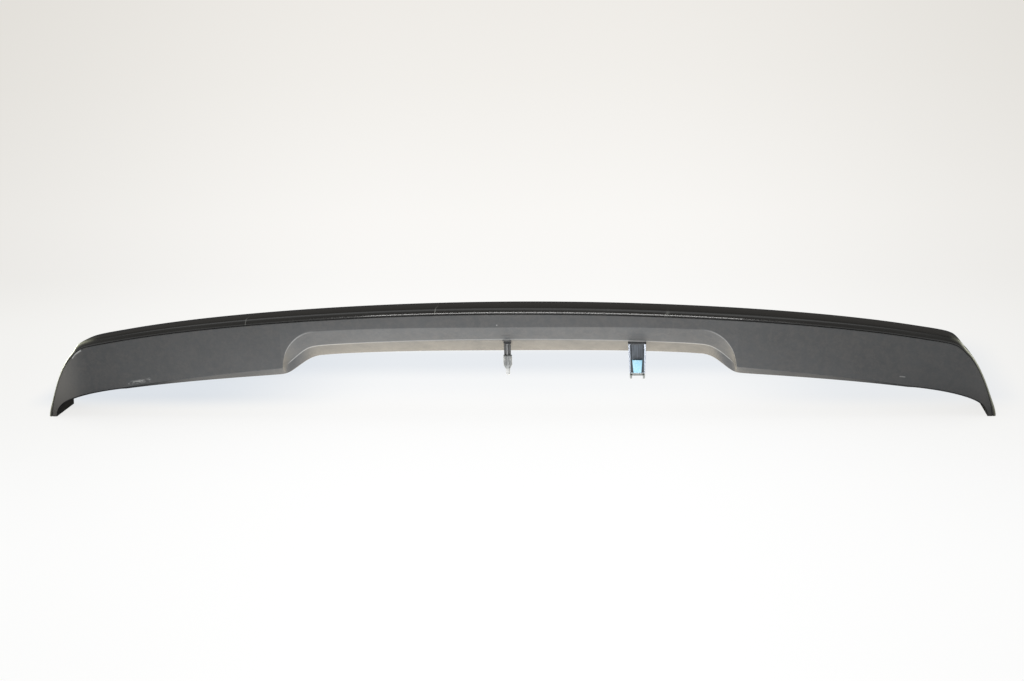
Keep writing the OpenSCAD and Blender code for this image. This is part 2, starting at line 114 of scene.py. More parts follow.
def rounded(points: Sequence[Point2], radii: Sequence[float], steps: int) -> list[Point2]:
    """Closed outline with rounded corners, always with the same number of points.

    Args:
        points: Corners of the outline.
        radii: Radius of each corner, 0 for a sharp one.
        steps: Pieces of each arc.

    Returns:
        The corners, with steps + 1 points in place of each rounded one.
    """
    out: list[Point2] = []
    n = len(points)
    for i, radius in enumerate(radii):
        p = Vector(points[i])
        if radius <= 0:
            out.append(tuple(p))
            continue
        u, v = Vector(points[i - 1]) - p, Vector(points[(i + 1) % n]) - p
        lu, lv = max(u.length, 1e-6), max(v.length, 1e-6)
        half = max(0.5 * u.angle(v, math.pi), 1e-3)
        cut = min(radius / math.tan(half), 0.46 * lu, 0.46 * lv)
        a, b = p + u * (cut / lu), p + v * (cut / lv)
        for k in range(steps + 1):
            t = k / steps
            out.append(tuple(a * (1 - t) ** 2 + p * (2 * t * (1 - t)) + b * t * t))
    return out


@dataclass
class Station:
    """One section place of the arch, with its lines as (depth, distance below the seam)."""

    seam: Point2
    low: Point2
    crease: Point2
    edge: Point2
    lip: Point2
    dip: float


@dataclass
class ArchShape:
    """Curves of the spoiler, the same as in the CAD source."""

    # Seam, seen from behind and from above.
    overall_w: float = 1043.4
    seam_h: float = 120.9
    crown_drop: float = 31.7
    shoulder_drop: float = 3.5
    plan_sag: float = 20.9
    ref_x: float = 450
    # Walls and ends.
    wall: float = 2.6
    joint_gap: float = 0.7
    end_len: float = 88
    side_h: float = 65.6
    side_lean: float = 25.5
    tip_sweep: float = 2
    foot_w: float = 5.6
    # Top, rolled edge and front.
    top_depth: float = 86
    foot_depth: float = 62
    roll_h: float = 5.8
    side_roll_h: float = 3.6
    roll_fade: float = 13.7
    inner_up: float = 0.3
    front_dip: float = 23.5
    # Rear face of the wings.
    wing_h: float = 62
    wing_drop: float = 29.5
    wing_shoulder: float = 0.56
    face_lean: float = 0.05
    chin_depth: float = 12
    chin_h: float = 9.4
    under_rise: float = 8
    # Recess in the middle.
    recess_half_w: float = 245.8
    recess_r: float = 37
    crease_drop: float = 15.2
    edge_drop: float = 32.2
    lip_drop: float = 48.6
    edge_depth: float = 15
    lip_depth: float = 38
    # Handles of the curves round the ends.
    shoulder_reach: float = 0.57
    lower_reach: float = 0.61
    side_handle: Point2 = (16.2, 15.8)
    side_upper: Point2 = (0.58, 0.71)
    side_lower: Point2 = (0.08, 0.25)
    # How the recess runs out into the wings.
    chin_left: float = 0.1
    crease_step: float = 0.5
    crease_rise: float = 2.4
    edge_rise: float = 1.1
    recess_rise: float = 2
    edge_bend: Point2 = (12.3, 0.8)
    lip_bend: Point2 = (13.3, 0.68)
    bend_soft: float = 8
    dip_fall: float = 0.53
    lip_round: float = 3
    lip_fade: float = 60
    lip_run: float = 6
    # Bevel and dip along the ends. The crease and the edge lie above the lip by a share of the bevel and a step. The
    # dip has its least share and the share that is left at the foot.
    chin_full_len: float = 30
    end_crease: Point2 = (0.8, 0.16)
    end_edge: Point2 = (0.4, 0.08)
    end_edge_depth: float = 0.35
    dip_fade: float = 38
    dip_least: Point2 = (0.04, 0.1)
    # Cuts along the arch: level part, recess corner, wing and end.
    level_cuts: int = 26
    corner_cuts: int = 56
    wing_cuts: int = 30
    end_cuts: int = 64
    corner_before: float = 16
    corner_after: float = 8
    shoulder_steps: int = 8
    side_steps: int = 9
    stations: list[Station] = field(default_factory=list)

    def __post_init__(self) -> None:
        """Works out the derived lines and the stations of the right half."""
        self.arch_half_w = self.overall_w / 2 - self.side_roll_h - 0.3
        self.end_start_x = self.overall_w / 2 - self.end_len
        self.recess_x0 = self.recess_half_w - self.recess_r - 1
        self.middle_y = (self.plan_y(self.arch_half_w) + self.tip_sweep + self.foot_depth) / 2
        x, step = self.end_start_x, 0.01
        seam_slope = (self.seam_z(x + step) - self.seam_z(x)) / step
        wing_slope = (self.wing_z(x + step) - self.wing_z(x)) / step
        side_x = self.arch_half_w - self.side_lean
        reach, low_reach = self.shoulder_reach * self.end_len, self.lower_reach * self.end_len
        self.shoulder_curve = [
            (x, self.seam_z(x)), (x + reach, self.seam_z(x) + reach * seam_slope),
            (side_x - self.side_handle[0], self.side_h + self.side_handle[1]), (side_x, self.side_h)]
        self.side_curve = [
            (side_x, self.side_h),
            (side_x + self.side_upper[0] * self.side_lean, self.side_h * self.side_upper[1]),
            (self.arch_half_w - self.side_lower[0] * self.side_lean, self.side_h * self.side_lower[1]),
            (self.arch_half_w, 0)]
        inner_x = self.arch_half_w - self.foot_w
        self.lower_curve = [
            (x, self.wing_z(x)), (x + low_reach, self.wing_z(x) + low_reach * wing_slope),
            (inner_x, self.side_h * self.side_lower[1]), (inner_x, 0)]
        self.crease_fall = (self.seam_z(self.recess_half_w) - self.crease_drop + self.crease_rise
                            - self.wing_crease_z(self.recess_half_w))
        self.stations = [self.crown_station(v) for v in self.crown_xs()]
        ends = self.shoulder_steps + self.side_steps
        self.stations += [self.end_station(ends * k / self.end_cuts) for k in range(self.end_cuts + 1)]

    def crown_xs(self) -> list[float]:
        """Distances of the crown's stations from the middle, close together round the recess corner.

        Returns:
            The distances, from 0 up to the start of the ends.
        """
        x0, x1 = self.recess_x0 - self.corner_before, self.recess_half_w + self.corner_after
        level, corner, wing = self.level_cuts, self.corner_cuts, self.wing_cuts
        return ([x0 * k / level for k in range(level)]
                + [mix(x0, x1, k / corner) for k in range(corner)]
                + [mix(x1, self.end_start_x, k / wing) for k in range(wing)])

    def seam_z(self, x: float) -> float:
        """Height of the seam at x."""
        u = x / self.ref_x
        return self.seam_h - self.crown_drop * u ** 2 - self.shoulder_drop * u ** 8

    def wing_z(self, x: float) -> float:
        """Height of the lower edge of the wings at x."""
        u = x / self.ref_x
        return self.wing_h - self.wing_drop * u ** 2 - self.wing_shoulder * self.shoulder_drop * u ** 8

    def plan_y(self, x: float) -> float:
        """How far the rear edge has moved forward at x."""
        return self.plan_sag * (x / self.ref_x) ** 2

    def chin_share(self, x: float) -> float:
        """Share of the bevel that is left at x."""
        return mix(1, self.chin_left, clamp01((x - self.recess_half_w) / (self.ref_x - self.recess_half_w)))

    @staticmethod
    def corner_fall(x: float, x0: float, a: float, r: float) -> float:
        """Quarter-ellipse fall of a recess line from its level part."""
        u = clamp01((x - x0) / r)
        return a * (1 - math.sqrt(1 - u * u))

    def corner_bend(self, x: float, bend: Point2) -> float:
        """Soft bend of a recess line, from its start and its slope."""
        u = x - self.recess_x0 - bend[0]
        return bend[1] * (u + math.hypot(u, self.bend_soft)) / 2

    def wing_lip_z(self, x: float) -> float:
        """Height of the lip along the wings."""
        return self.wing_z(x) - 0.25 * self.chin_depth * self.chin_share(x)

    def wing_crease_z(self, x: float) -> float:
        """Height of the top of the bevel along the wings."""
        return self.wing_lip_z(x) + self.chin_h * self.chin_share(x) + self.crease_step

    def crease_z(self, x: float) -> float:
        """Height of the crease at x.

        Args:
            x: Distance from the middle.

        Returns:
            The height.
        """
        if x >= self.recess_half_w:
            return self.wing_crease_z(x)
        rise = self.crease_rise * ease(x / self.recess_x0)
        fall = self.corner_fall(x, self.recess_half_w - self.recess_r, self.crease_fall, self.recess_r)
        return self.seam_z(x) - self.crease_drop + rise - fall

    def edge_z(self, x: float) -> float:
        """Height of the edge between both recess faces at x.

        Args:
            x: Distance from the middle.

        Returns:
            The height.
        """
        low = self.wing_crease_z(x) - self.crease_step
        if x >= self.recess_half_w:
            return low
        rise = self.edge_rise * ease(x / self.recess_x0)
        return max(self.seam_z(x) - self.edge_drop + rise - self.corner_bend(x, self.edge_bend), low)

    def lip_z(self, x: float) -> float:
        """Height of the lower end of the section at x.

        Args:
            x: Distance from the middle.

        Returns:
            The height.
        """
        a = (self.seam_z(x) - self.lip_drop + self.recess_rise * ease(x / self.recess_x0)
             - self.corner_bend(x, self.lip_bend))
        b = self.wing_lip_z(x)
        k = 0.0
        if self.recess_x0 < x < self.ref_x:
            k = self.lip_round * (1 - clamp01((x - self.recess_half_w) / self.lip_fade))
        return (a + b + math.sqrt((a - b) ** 2 + k * k)) / 2

    def crease_depth(self, x: float) -> float:
        """Depth of the crease behind the rear edge."""
        return self.face_lean * (self.seam_z(x) - self.crease_z(x))

    def edge_depth_at(self, x: float) -> float:
        """Depth of the edge between both recess faces.

        Args:
            x: Distance from the middle.

        Returns:
            The depth behind the rear edge.
        """
        span = self.edge_depth - self.face_lean * self.crease_drop
        share = (self.crease_z(x) - self.edge_z(x)) / (self.edge_drop - self.crease_drop)
        return self.crease_depth(x) + span * share

    def lip_depth_at(self, x: float) -> float:
        """Depth of the lower end of the section."""
        return mix(self.lip_depth, self.crease_depth(x) + self.chin_depth * self.chin_share(x),
                   ease((x - self.recess_x0) / (self.recess_r + self.lip_run)))

    def dip_share(self, x: float) -> float:
        """Share of the front edge's dip at x."""
        return 1 - self.dip_fall * (x / self.ref_x) ** 2

    def crown_station(self, x: float) -> Station:
        """Station of the crown at x.

        Args:
            x: Distance from the middle.

        Returns:
            The station.
        """
        s, lip = self.seam_z(x), self.lip_z(x)
        return Station((x, s), (x, lip), (self.crease_depth(x), s - self.crease_z(x)),
                       (self.edge_depth_at(x), s - self.edge_z(x)), (self.lip_depth_at(x), s - lip),
                       self.dip_share(x))

    def end_station(self, i: float) -> Station:
        """Station of an end.

        Args:
            i: Place in steps of the curves, 0 at the shoulder and the sum of both at the foot.

        Returns:
            The station.
        """
        n, m = self.shoulder_steps, self.side_steps
        seam = bezier(self.side_curve, (i - n) / m) if i > n else bezier(self.shoulder_curve, i / n)
        low = bezier(self.lower_curve, i / (n + m))
        length = math.dist(seam, low)
        chin = min(1, length / self.chin_full_len) * self.chin_depth * self.chin_share(self.end_start_x)
        lean = self.face_lean * length
        least, start = self.dip_least
        dip = max(least, self.dip_share(seam[0])) * clamp01((length - self.foot_w) / self.dip_fade + start)
        crease, edge = self.end_crease, self.end_edge
        return Station(seam, low, (lean, length - crease[0] * chin - crease[1]),
                       (lean + self.end_edge_depth * chin, length - edge[0] * chin - edge[1]),
                       (lean + chin, length), dip)

    def depth_at(self, st: Station) -> float:
        """Depth of the top at a station."""
        return mix(self.top_depth, self.foot_depth, clamp01((st.seam[0] / self.arch_half_w) ** 2))

    def roll_at(self, st: Station) -> float:
        """Height of the rolled edge at a station, thinner along the shoulder."""
        into = st.seam[0] - self.arch_half_w + self.side_lean + self.roll_fade
        return mix(self.roll_h, self.side_roll_h, ease(into / (self.roll_fade - 1)))

    def place(self, st: Station, p: Point2) -> Vector:
        """Point of a station's section in the row frame, in metres.

        Args:
            st: The station.
            p: Depth behind the rear edge and distance below the seam.

        Returns:
            The point, on the right half.
        """
        dx, dz = st.low[0] - st.seam[0], st.low[1] - st.seam[1]
        length = math.hypot(dx, dz)
        plan = self.plan_y(st.seam[0]) + self.tip_sweep * clamp01(1 - st.seam[1] / self.side_h)
        return Vector((st.seam[0] + dx / length * p[1], plan + p[0] - self.middle_y,
                       st.seam[1] + dz / length * p[1])) * MM

    def front_of(self, st: Station) -> float:
        """Depth of the cover's front wall at a station."""
        return self.depth_at(st) - self.wall - self.joint_gap


ARCH = ArchShape()


@dataclass(frozen=True)
class FixingPlaces:
    """Places and sizes of the pin, the clip and the inserts, as in the CAD source."""

    clip_x: float = 140
    clip_w: float = 19.4
    clip_fold_w: float = 16.4
    clip_len: float = 35
    clip_t: float = 0.8
    blade_t: float = 3
    pad_t: float = 5
    seat_gap: float = 0.3
    gasket_t: float = 3.2
    clip_gasket_t: float = 2.4
    foot_len: float = 3
    pin_d: float = 9.4
    pin_shaft_d: float = 7.6
    pin_nib_d: float = 4
    insert_y: float = 64
    insert_xs: Point2 = (150, 330)
    boss_drop: float = 2
    # How far the pin, its root and the clip's root are set into the cover, and the room round the blade.
    pin_back: float = 0.4
    pin_sink: float = 1.2
    clip_sink: float = 0.6
    clip_shift: float = 0.3
    pad_room: float = 4.8
    blade_room: float = 4.4

    @property
    def pin_y(self) -> float:
        """Place of the pin along Y."""
        return ARCH.edge_depth + self.pin_d / 2 - self.pin_back - ARCH.middle_y

    @property
    def root_z(self) -> float:
        """Height of the pin's root."""
        return ARCH.seam_h - ARCH.edge_drop - self.pin_sink

    @property
    def pad_depth(self) -> float:
        """Depth of the clip's pad."""
        return self.blade_t + self.pad_room

    @property
    def blade_w(self) -> float:
        """Width of the blade inside the clip."""
        return self.clip_fold_w - self.blade_room

    @property
    def clip_y(self) -> float:
        """Place of the clip along Y."""
        return ARCH.plan_y(self.clip_x) + ARCH.edge_depth + self.pad_depth / 2 + self.clip_shift - ARCH.middle_y

    @property
    def clip_root_z(self) -> float:
        """Height of the clip's root."""
        return ARCH.edge_z(self.clip_x) - self.clip_sink

    @property
    def clip_root(self) -> Point3:
        """Middle of the clip's root, above its gasket."""
        return self.clip_x, self.clip_y, self.clip_root_z

    @property
    def clip_top(self) -> Point3:
        """Middle of the steel's upper end, under its gasket."""
        return self.clip_x, self.clip_y, self.clip_root_z - self.clip_gasket_t

    @property
    def blade_tip(self) -> float:
        """Lower end of the blade, from its root."""
        return -self.clip_gasket_t - self.clip_len + self.clip_t + self.seat_gap

    def insert_places(self) -> list[Point3]:
        """Places of the four inserts.

        Returns:
            The lower ends of the bosses.
        """
        out = []
        for x in self.insert_xs:
            lip_y = ARCH.plan_y(x) + ARCH.lip_depth_at(x)
            depth = mix(ARCH.top_depth, ARCH.foot_depth, (x / ARCH.arch_half_w) ** 2)
            front_y = ARCH.plan_y(x) + depth - ARCH.wall - ARCH.joint_gap
            z = ARCH.lip_z(x) + ARCH.under_rise * (self.insert_y - lip_y) / (front_y - lip_y) - self.boss_drop
            out += [(side * x, self.insert_y - ARCH.middle_y, z) for side in (-1, 1)]
        return out


FIX = FixingPlaces()


class Value:
    """A number socket of a shader, on which Python's operators add Math nodes."""

    def __init__(self, shader: "Shader", socket: bpy.types.NodeSocket) -> None:
        """Keeps the socket and the shader that it belongs to."""
        self.shader, self.socket = shader, socket

    def _math(self, operation: str, *others: "Value | float") -> "Value":
        """Math node of this value and others."""
        return self.shader.node("ShaderNodeMath", {"operation": operation}, dict(enumerate((self, *others))))

    def __add__(self, o: "Value | float") -> "Value":
        """Sum."""
        return self._math("ADD", o)

    __radd__ = __add__

    def __mul__(self, o: "Value | float") -> "Value":
        """Product."""
        return self._math("MULTIPLY", o)

    __rmul__ = __mul__

    def __sub__(self, o: "Value | float") -> "Value":
        """Difference."""
        return self._math("SUBTRACT", o)

    def __rsub__(self, o: float) -> "Value":
        """Difference from a number."""
        return (self * -1.0) + o

    def __truediv__(self, o: "Value | float") -> "Value":
        """Quotient."""
        return self._math("DIVIDE", o)

    def __rtruediv__(self, o: float) -> "Value":
        """Quotient of a number by this value."""
        return self.shader.node("ShaderNodeMath", {"operation": "DIVIDE"}, {0: o, 1: self})

    def __pow__(self, o: float) -> "Value":
        """Power."""
        return self._math("POWER", o)

    def __abs__(self) -> "Value":
        """Size without sign."""
        return self._math("ABSOLUTE")

    def root(self) -> "Value":
        """Square root."""
        return self._math("SQRT")

    def top(self, o: "Value | float") -> "Value":
        """The greater of both."""
        return self._math("MAXIMUM", o)

    def low(self, o: "Value | float") -> "Value":
        """The smaller of both."""
        return self._math("MINIMUM", o)

    def ramp(self, a: float, b: float, lo: float = 0.0, hi: float = 1.0) -> "Value":
        """Smooth passage from lo at a to hi at b."""
        return self.shader.node("ShaderNodeMapRange", {"interpolation_type": "SMOOTHSTEP"},
                                {"Value": self, "From Min": a, "From Max": b, "To Min": lo, "To Max": hi})


@dataclass(frozen=True)
class Mark:
    """A straight mark on a surface, seen along Y, with its ends as (across, up)."""

    start: Point2
    end: Point2
    width: float
    soft: float = 0.5
    strength: float = 1.0


class Shader:
    """Builds the nodes of one material or of the world."""

    def __init__(self, owner: bpy.types.Material | bpy.types.World) -> None:
        """Starts an empty node tree on the owner.

        Args:
            owner: The material or the world.
        """
        owner.use_nodes = True
        self.tree = owner.node_tree
        self.tree.nodes.clear()

    def node(self, kind: str, settings: dict | None = None, inputs: dict | None = None,
             out: int | str = 0) -> Value:
        """Adds a node.

        Args:
            kind: The node's type.
            settings: Attributes, set before the sockets; "stops" fills a colour ramp.
            inputs: Socket names or numbers, with a value or a linked Value.
            out: Name or number of the output that is returned.

        Returns:
            The output.
        """
        made = self.tree.nodes.new(kind)
        for name, value in (settings or {}).items():
            if name == "stops":
                ramp = made.color_ramp
                while len(ramp.elements) < len(value):
                    ramp.elements.new(1.0)
                for element, (place, color) in zip(ramp.elements, value):
                    element.position, element.color = place, (*color, 1.0)
            else:
                setattr(made, name, value)
        for name, value in (inputs or {}).items():
            socket = made.inputs[name]
            if isinstance(value, Value):
                self.tree.links.new(value.socket, socket)
            else:
                is_color = isinstance(value, tuple) and socket.type == "RGBA"
                socket.default_value = (*value, 1.0) if is_color else value
        return Value(self, made.outputs[out])

    def place(self, scale: Point3 = (1, 1, 1), shift: Point3 = (0, 0, 0)) -> Value:
        """Object coordinates through a Mapping node."""
        at = self.node("ShaderNodeTexCoord", out="Object")
        return self.node("ShaderNodeMapping", {}, {"Vector": at, "Scale": scale, "Location": shift})

    def parts(self, vector: Value) -> tuple[Value, Value, Value]:
        """X, Y and Z of a vector."""
        made = self.node("ShaderNodeSeparateXYZ", {}, {0: vector}).socket.node
        return tuple(Value(self, made.outputs[i]) for i in range(3))

    def axes(self) -> tuple[Value, Value, Value]:
        """Object coordinates X, Y and Z in millimetres."""
        return self.parts(self.place((1 / MM,) * 3))

    def facing(self) -> tuple[Value, Value, Value]:
        """Parts of the surface's own normal along X, Y and Z."""
        return self.parts(self.node("ShaderNodeTexCoord", out="Normal"))

    def noise(self, scale: float, detail: float = 3.0, rough: float = 0.55, stretch: Point3 = (1, 1, 1),
              shift: Point3 = (0, 0, 0)) -> Value:
        """Noise of about 0 to 1, with its features about 1/scale metres wide.

        Args:
            scale: Features for each metre.
            detail: Number of finer layers.
            rough: Share that each finer layer keeps.
            stretch: Scale along each axis.
            shift: Shift along each axis in metres.

        Returns:
            The noise.
        """
        at = self.place(stretch, shift)
        return self.node("ShaderNodeTexNoise", {"noise_dimensions": "3D"},
                         {"Vector": at, "Scale": scale, "Detail": detail, "Roughness": rough})

    def blend(self, factor: Value | float, a: "Value | Color", b: "Value | Color") -> Value:
        """Colour mixed from a to b by factor.

        Args:
            factor: Share of b.
            a: First colour.
            b: Second colour.

        Returns:
            The colour.
        """
        made = self.node("ShaderNodeMix", {"data_type": "RGBA", "clamp_factor": True}, {})
        mixer = made.socket.node
        for socket, value in ((mixer.inputs[0], factor), (mixer.inputs[6], a), (mixer.inputs[7], b)):
            if isinstance(value, Value):
                self.tree.links.new(value.socket, socket)
            else:
                socket.default_value = (*value, 1.0) if isinstance(value, tuple) else value
        return Value(self, mixer.outputs[2])

    def stroke(self, x: Value, z: Value, mark: Mark) -> Value:
        """Mask of one mark.

        Args:
            x: Coordinate across, in millimetres.
            z: Coordinate up, in millimetres.
            mark: The mark.

        Returns:
            The mark's strength on the mark, 0 away from it.
        """
        (x0, z0), soft, half = mark.start, mark.soft, mark.width / 2
        length = math.dist(mark.start, mark.end)
        ux, uz = (mark.end[0] - x0) / length, (mark.end[1] - z0) / length
        along = (x - x0) * ux + (z - z0) * uz
        across = abs((x - x0) * -uz + (z - z0) * ux)
        ends = along.ramp(-soft, soft) * along.ramp(length + soft, length - soft)
        return across.ramp(half + soft, max(0.0, half - soft)) * ends * mark.strength

    def strokes(self, x: Value, z: Value, marks: Sequence[Mark]) -> Value:
        """Mask of several marks together."""
        masks = [self.stroke(x, z, mark) for mark in marks]
        return sum(masks[1:], masks[0])

    def surface(self, settings: dict, normal: Value) -> None:
        """Principled surface with the given sockets and normal, linked to the output."""
        self.finish(self.node("ShaderNodeBsdfPrincipled", {}, settings | {"Normal": normal}))

    def finish(self, shader: Value, kind: str = "ShaderNodeOutputMaterial") -> None:
        """Links a shader to the output of the material or the world."""
        made = self.tree.nodes.new(kind)
        self.tree.links.new(shader.socket, made.inputs["Surface"])

    def bump(self, height: Value, strength: float, distance_m: float) -> Value:
        """Bump of a height."""
        return self.node("ShaderNodeBump", {}, {"Strength": strength, "Distance": distance_m, "Height": height})


def new_shader(name: str) -> tuple[bpy.types.Material, Shader]:
    """Empty material of that name and its shader."""
    material = bpy.data.materials.new(name)
    return material, Shader(material)


@dataclass(frozen=True)
class GlossPaint:
    """Clear-coated black paint of the top skin."""

    color: Color = (0.0105, 0.0095, 0.0085)
    dusty: Color = (0.03, 0.029, 0.026)
    nicked: Color = (0.2, 0.2, 0.18)
    dulled_and_sheen: Color = (0.07, 0.068, 0.062)
    shoulder_reflection_tone: Color = (0.42, 0.42, 0.31)
    roughness: float = 0.16
    coat: float = 0.8
    coat_roughness: float = 0.04
    ior: float = 1.45
    nicks: tuple[Mark, ...] = (
        Mark((-75.5, 120.6), (-74.5, 127), 0.5),
        Mark((-285, 108), (-284, 116), 0.5, strength=0.6),
        Mark((171, 115.5), (174, 121), 3.5, 1.5, 0.35))

    @staticmethod
    def painted_shoulder_reflection(s: Shader, x: Value, y: Value, z: Value) -> Value:
        """Mask of the painted pale reflection on the rear edge of both shoulders and ends.

        Args:
            s: Shader of the material.
            x: Coordinate across, in millimetres.
            y: Coordinate forward.
            z: Coordinate up.

        Returns:
            The mask.
        """
        _, ny, _ = s.facing()
        edge = y.ramp(-9, -14) * 0.8
        shoulder = y.ramp(2, -8) * z.ramp(74, 86) * 0.7
        left, right = x.ramp(-456, -484), x.ramp(468, 492, 0.0, 0.85)
        return ny.ramp(-1.0, -0.6) * (edge + shoulder).low(1.0) * (left + right)

    def material(self) -> bpy.types.Material:
        """Builds the material.

        Returns:
            The material.
        """
        made, s = new_shader("gloss_paint")
        x, y, z = s.axes()
        dust = s.noise(230, 5, 0.7).ramp(0.55, 0.78)
        haze = s.noise(9, 4, 0.6, (1, 3, 3)).ramp(0.4, 0.75)
        rubs = s.noise(60, 6, 0.75, (0.25, 3, 3)).ramp(0.6, 0.8)
        rear = y.ramp(-18, -26)
        # At the foot of both ends the paint is dulled and has no coat; its paler colour is partly a painted sheen.
        ends = abs(x).ramp(494, 503) * z.ramp(82, 70) * y.ramp(-11, -15)
        base = s.blend(dust * 0.35 + haze * 0.25, self.color, self.dusty)
        base = s.blend(s.strokes(x, z, self.nicks) * rear * 0.7, base, self.nicked)
        base = s.blend(ends, base, self.dulled_and_sheen)
        # Painted pale reflection on the shoulders and ends.
        base = s.blend(self.painted_shoulder_reflection(s, x, y, z) * 0.9, base, self.shoulder_reflection_tone)
        rough = self.roughness + haze * 0.10 + rubs * 0.12 + dust * 0.08 + ends * 0.3
        peel = s.bump(s.noise(420, 2, 0.5), 0.02, 0.0006)
        s.surface({"Base Color": base, "Roughness": rough, "IOR": self.ior, "Specular IOR Level": 0.35,
                   "Coat Weight": ends * -self.coat + self.coat, "Coat Roughness": self.coat_roughness,
                   "Coat IOR": self.ior}, peel)
        return made


@dataclass(frozen=True)
class GrainedPlastic:
    """Dark grey moulded plastic with a fine grain."""

    color: Color = (0.042, 0.043, 0.0435)
    wear_and_highlight: Color = (0.30, 0.30, 0.29)
    blotched: Color = (0.055, 0.051, 0.048)
    specked: Color = (0.029, 0.031, 0.032)
    painted_end_sheen: Color = (0.118, 0.112, 0.102)
    notch_foot_shade: Color = (0.012, 0.013, 0.014)
    smeared: Color = (0.012, 0.012, 0.012)
    shaded: Color = (0.004, 0.004, 0.006)
    blade_tones: tuple[Color, Color] = ((0.026, 0.033, 0.044), (0.058, 0.07, 0.085))
    darker: float = 0.74
    paler: float = 1.3
    roughness: float = 0.42
    scuff: Mark = Mark((-424, 40.3), (-398, 45.2), 2.8, 1.6)
    smear: Mark = Mark((-6, 94.6), (4, 95.4), 1.1)
    scratches: tuple[Mark, ...] = (
        Mark((-487.5, 68), (-484, 72.6), 1.2, strength=1.6),
        Mark((-484, 72.6), (-476.5, 77.4), 1.5, strength=1.6),
        Mark((-9.4, 108), (-8.4, 108.3), 1.2),
        Mark((418, 46.2), (424, 45.4), 0.8, strength=0.8))

    @staticmethod
    def recess_edge_highlight(x: Value, z: Value) -> Value:
        """Mask of the painted highlight along the edges of the recess.

        Args:
            x: Coordinate across, in millimetres.
            z: Coordinate up, in millimetres.

        Returns:
            Stronger round the corners, faint along the middle.
        """
        a = ARCH
        off = abs(x)
        u = off / a.ref_x
        seam = a.seam_h - a.crown_drop * u ** 2 - a.shoulder_drop * u ** 8
        start = off - (a.recess_x0 + a.edge_bend[0])
        bend = (start + (start * start + a.bend_soft ** 2).root()) * (a.edge_bend[1] / 2)
        edge = seam - bend - (a.edge_drop - a.edge_rise)
        inner, outer = a.recess_half_w - a.recess_r, a.recess_half_w
        quarter = ((off - inner) / a.recess_r).top(0.0).low(1.0)
        fall = (1.0 - (1.0 - quarter * quarter).root()) * a.crease_fall
        crease = seam - fall - (a.crease_drop - a.crease_rise)
        edge_share = off.ramp(inner - 60, inner + 8, 0.5, 0.8) * off.ramp(outer - 2, outer - 8)
        crease_share = off.ramp(inner - 6, outer - 14, 0.0, 0.6) * quarter.ramp(0.97, 0.88)
        return abs(z - edge).ramp(1.0, 0.2) * edge_share + abs(z - crease).ramp(1.3, 0.3) * crease_share

    def grained(self, s: Shader, mottle: Value, x: Value, z: Value) -> Value:
        """Colour of the moulding before its marks.

        Args:
            s: Shader of the material.
            mottle: Mask of the larger mottling.
            x: Coordinate across, in millimetres.
            z: Coordinate up, in millimetres.

        Returns:
            The colour, paled at both ends by painted sheen and darkened by painted shade at the foot of each side of
            the recess.
        """
        blotch = s.noise(140, 3, 0.6, (1, 1, 1), (0.3, 0.1, 0.2)).ramp(0.35, 0.65)
        speck = s.noise(330, 3, 0.7).ramp(0.35, 0.68)
        cloud = s.noise(7, 3, 0.5, (1, 2, 2)).ramp(0.3, 0.7)
        # Painted sheen that pales both ends, the left more.
        ends = x.ramp(-470, -506) + x.ramp(480, 512, 0.0, 0.25)
        off, outer = abs(x), ARCH.recess_half_w
        # Painted shade at the foot of each side of the recess.
        foot = off.ramp(outer - 10, outer - 6) * off.ramp(outer + 2, outer) * z.ramp(53, 47)
        base = s.blend(mottle * 0.7, self.color, tuple(self.darker * c for c in self.color))
        base = s.blend(blotch * 0.8, base, self.blotched)
        base = s.blend(speck * 0.5, base, self.specked)
        base = s.blend(cloud * 0.35, base, tuple(self.paler * c for c in self.color))
        base = s.blend(ends, base, self.painted_end_sheen)
        return s.blend(foot * 0.85, base, self.notch_foot_shade)

    def material(self) -> bpy.types.Material:
        """Builds the material.

        Returns:
            The material.
        """
        made, s = new_shader("grained_plastic")
        x, _, z = s.axes()
        nx, ny, nz = s.facing()
        mottle = s.noise(45, 5, 0.65).ramp(0.3, 0.75)
        rubbed = s.noise(300, 4, 0.7, (0.5, 1, 2)).ramp(0.46, 0.56)
        # The scuff and the scratches are wear; the recess edges get a painted highlight in the same pale colour.
        marks = (s.stroke(x, z, self.scuff) * rubbed + s.strokes(x, z, self.scratches) + self.recess_edge_highlight(x, z)).low(1.3)
        inner = (nx * x.ramp(-1, 1, -1.0, 1.0)).ramp(-0.2, -0.45) * z.ramp(75, 55) * abs(x).ramp(440, 470)
        below = nz.ramp(-0.3, -0.6) * (x.ramp(-360, -430) + x.ramp(400, 470, 0.0, 0.5))
        blade = abs(x - FIX.clip_x).ramp(9, 8) * z.ramp(82.5, 81) * ny.ramp(-0.5, -0.9)
        lines = s.noise(900, 2, 0.5, (1, 1, 0.06)).ramp(0.4, 0.6)
        base = s.blend(s.stroke(x, z, self.smear) * 0.7, self.grained(s, mottle, x, z), self.smeared)
        base = s.blend((inner * 0.92 + below * 0.8).low(1.0), base, self.shaded)
        base = s.blend(blade, base, s.blend(lines, *self.blade_tones))
        base = s.blend(marks * 0.7, base, self.wear_and_highlight)
        rough = self.roughness + mottle * 0.08 - marks * 0.1 + (inner + below).low(1.0) * 0.4
        fine = s.bump(s.noise(1500, 3, 0.6), 0.25, 0.00012)
        s.surface({"Base Color": base, "Roughness": rough, "IOR": 1.5, "Specular IOR Level": 0.5}, fine)
        return made


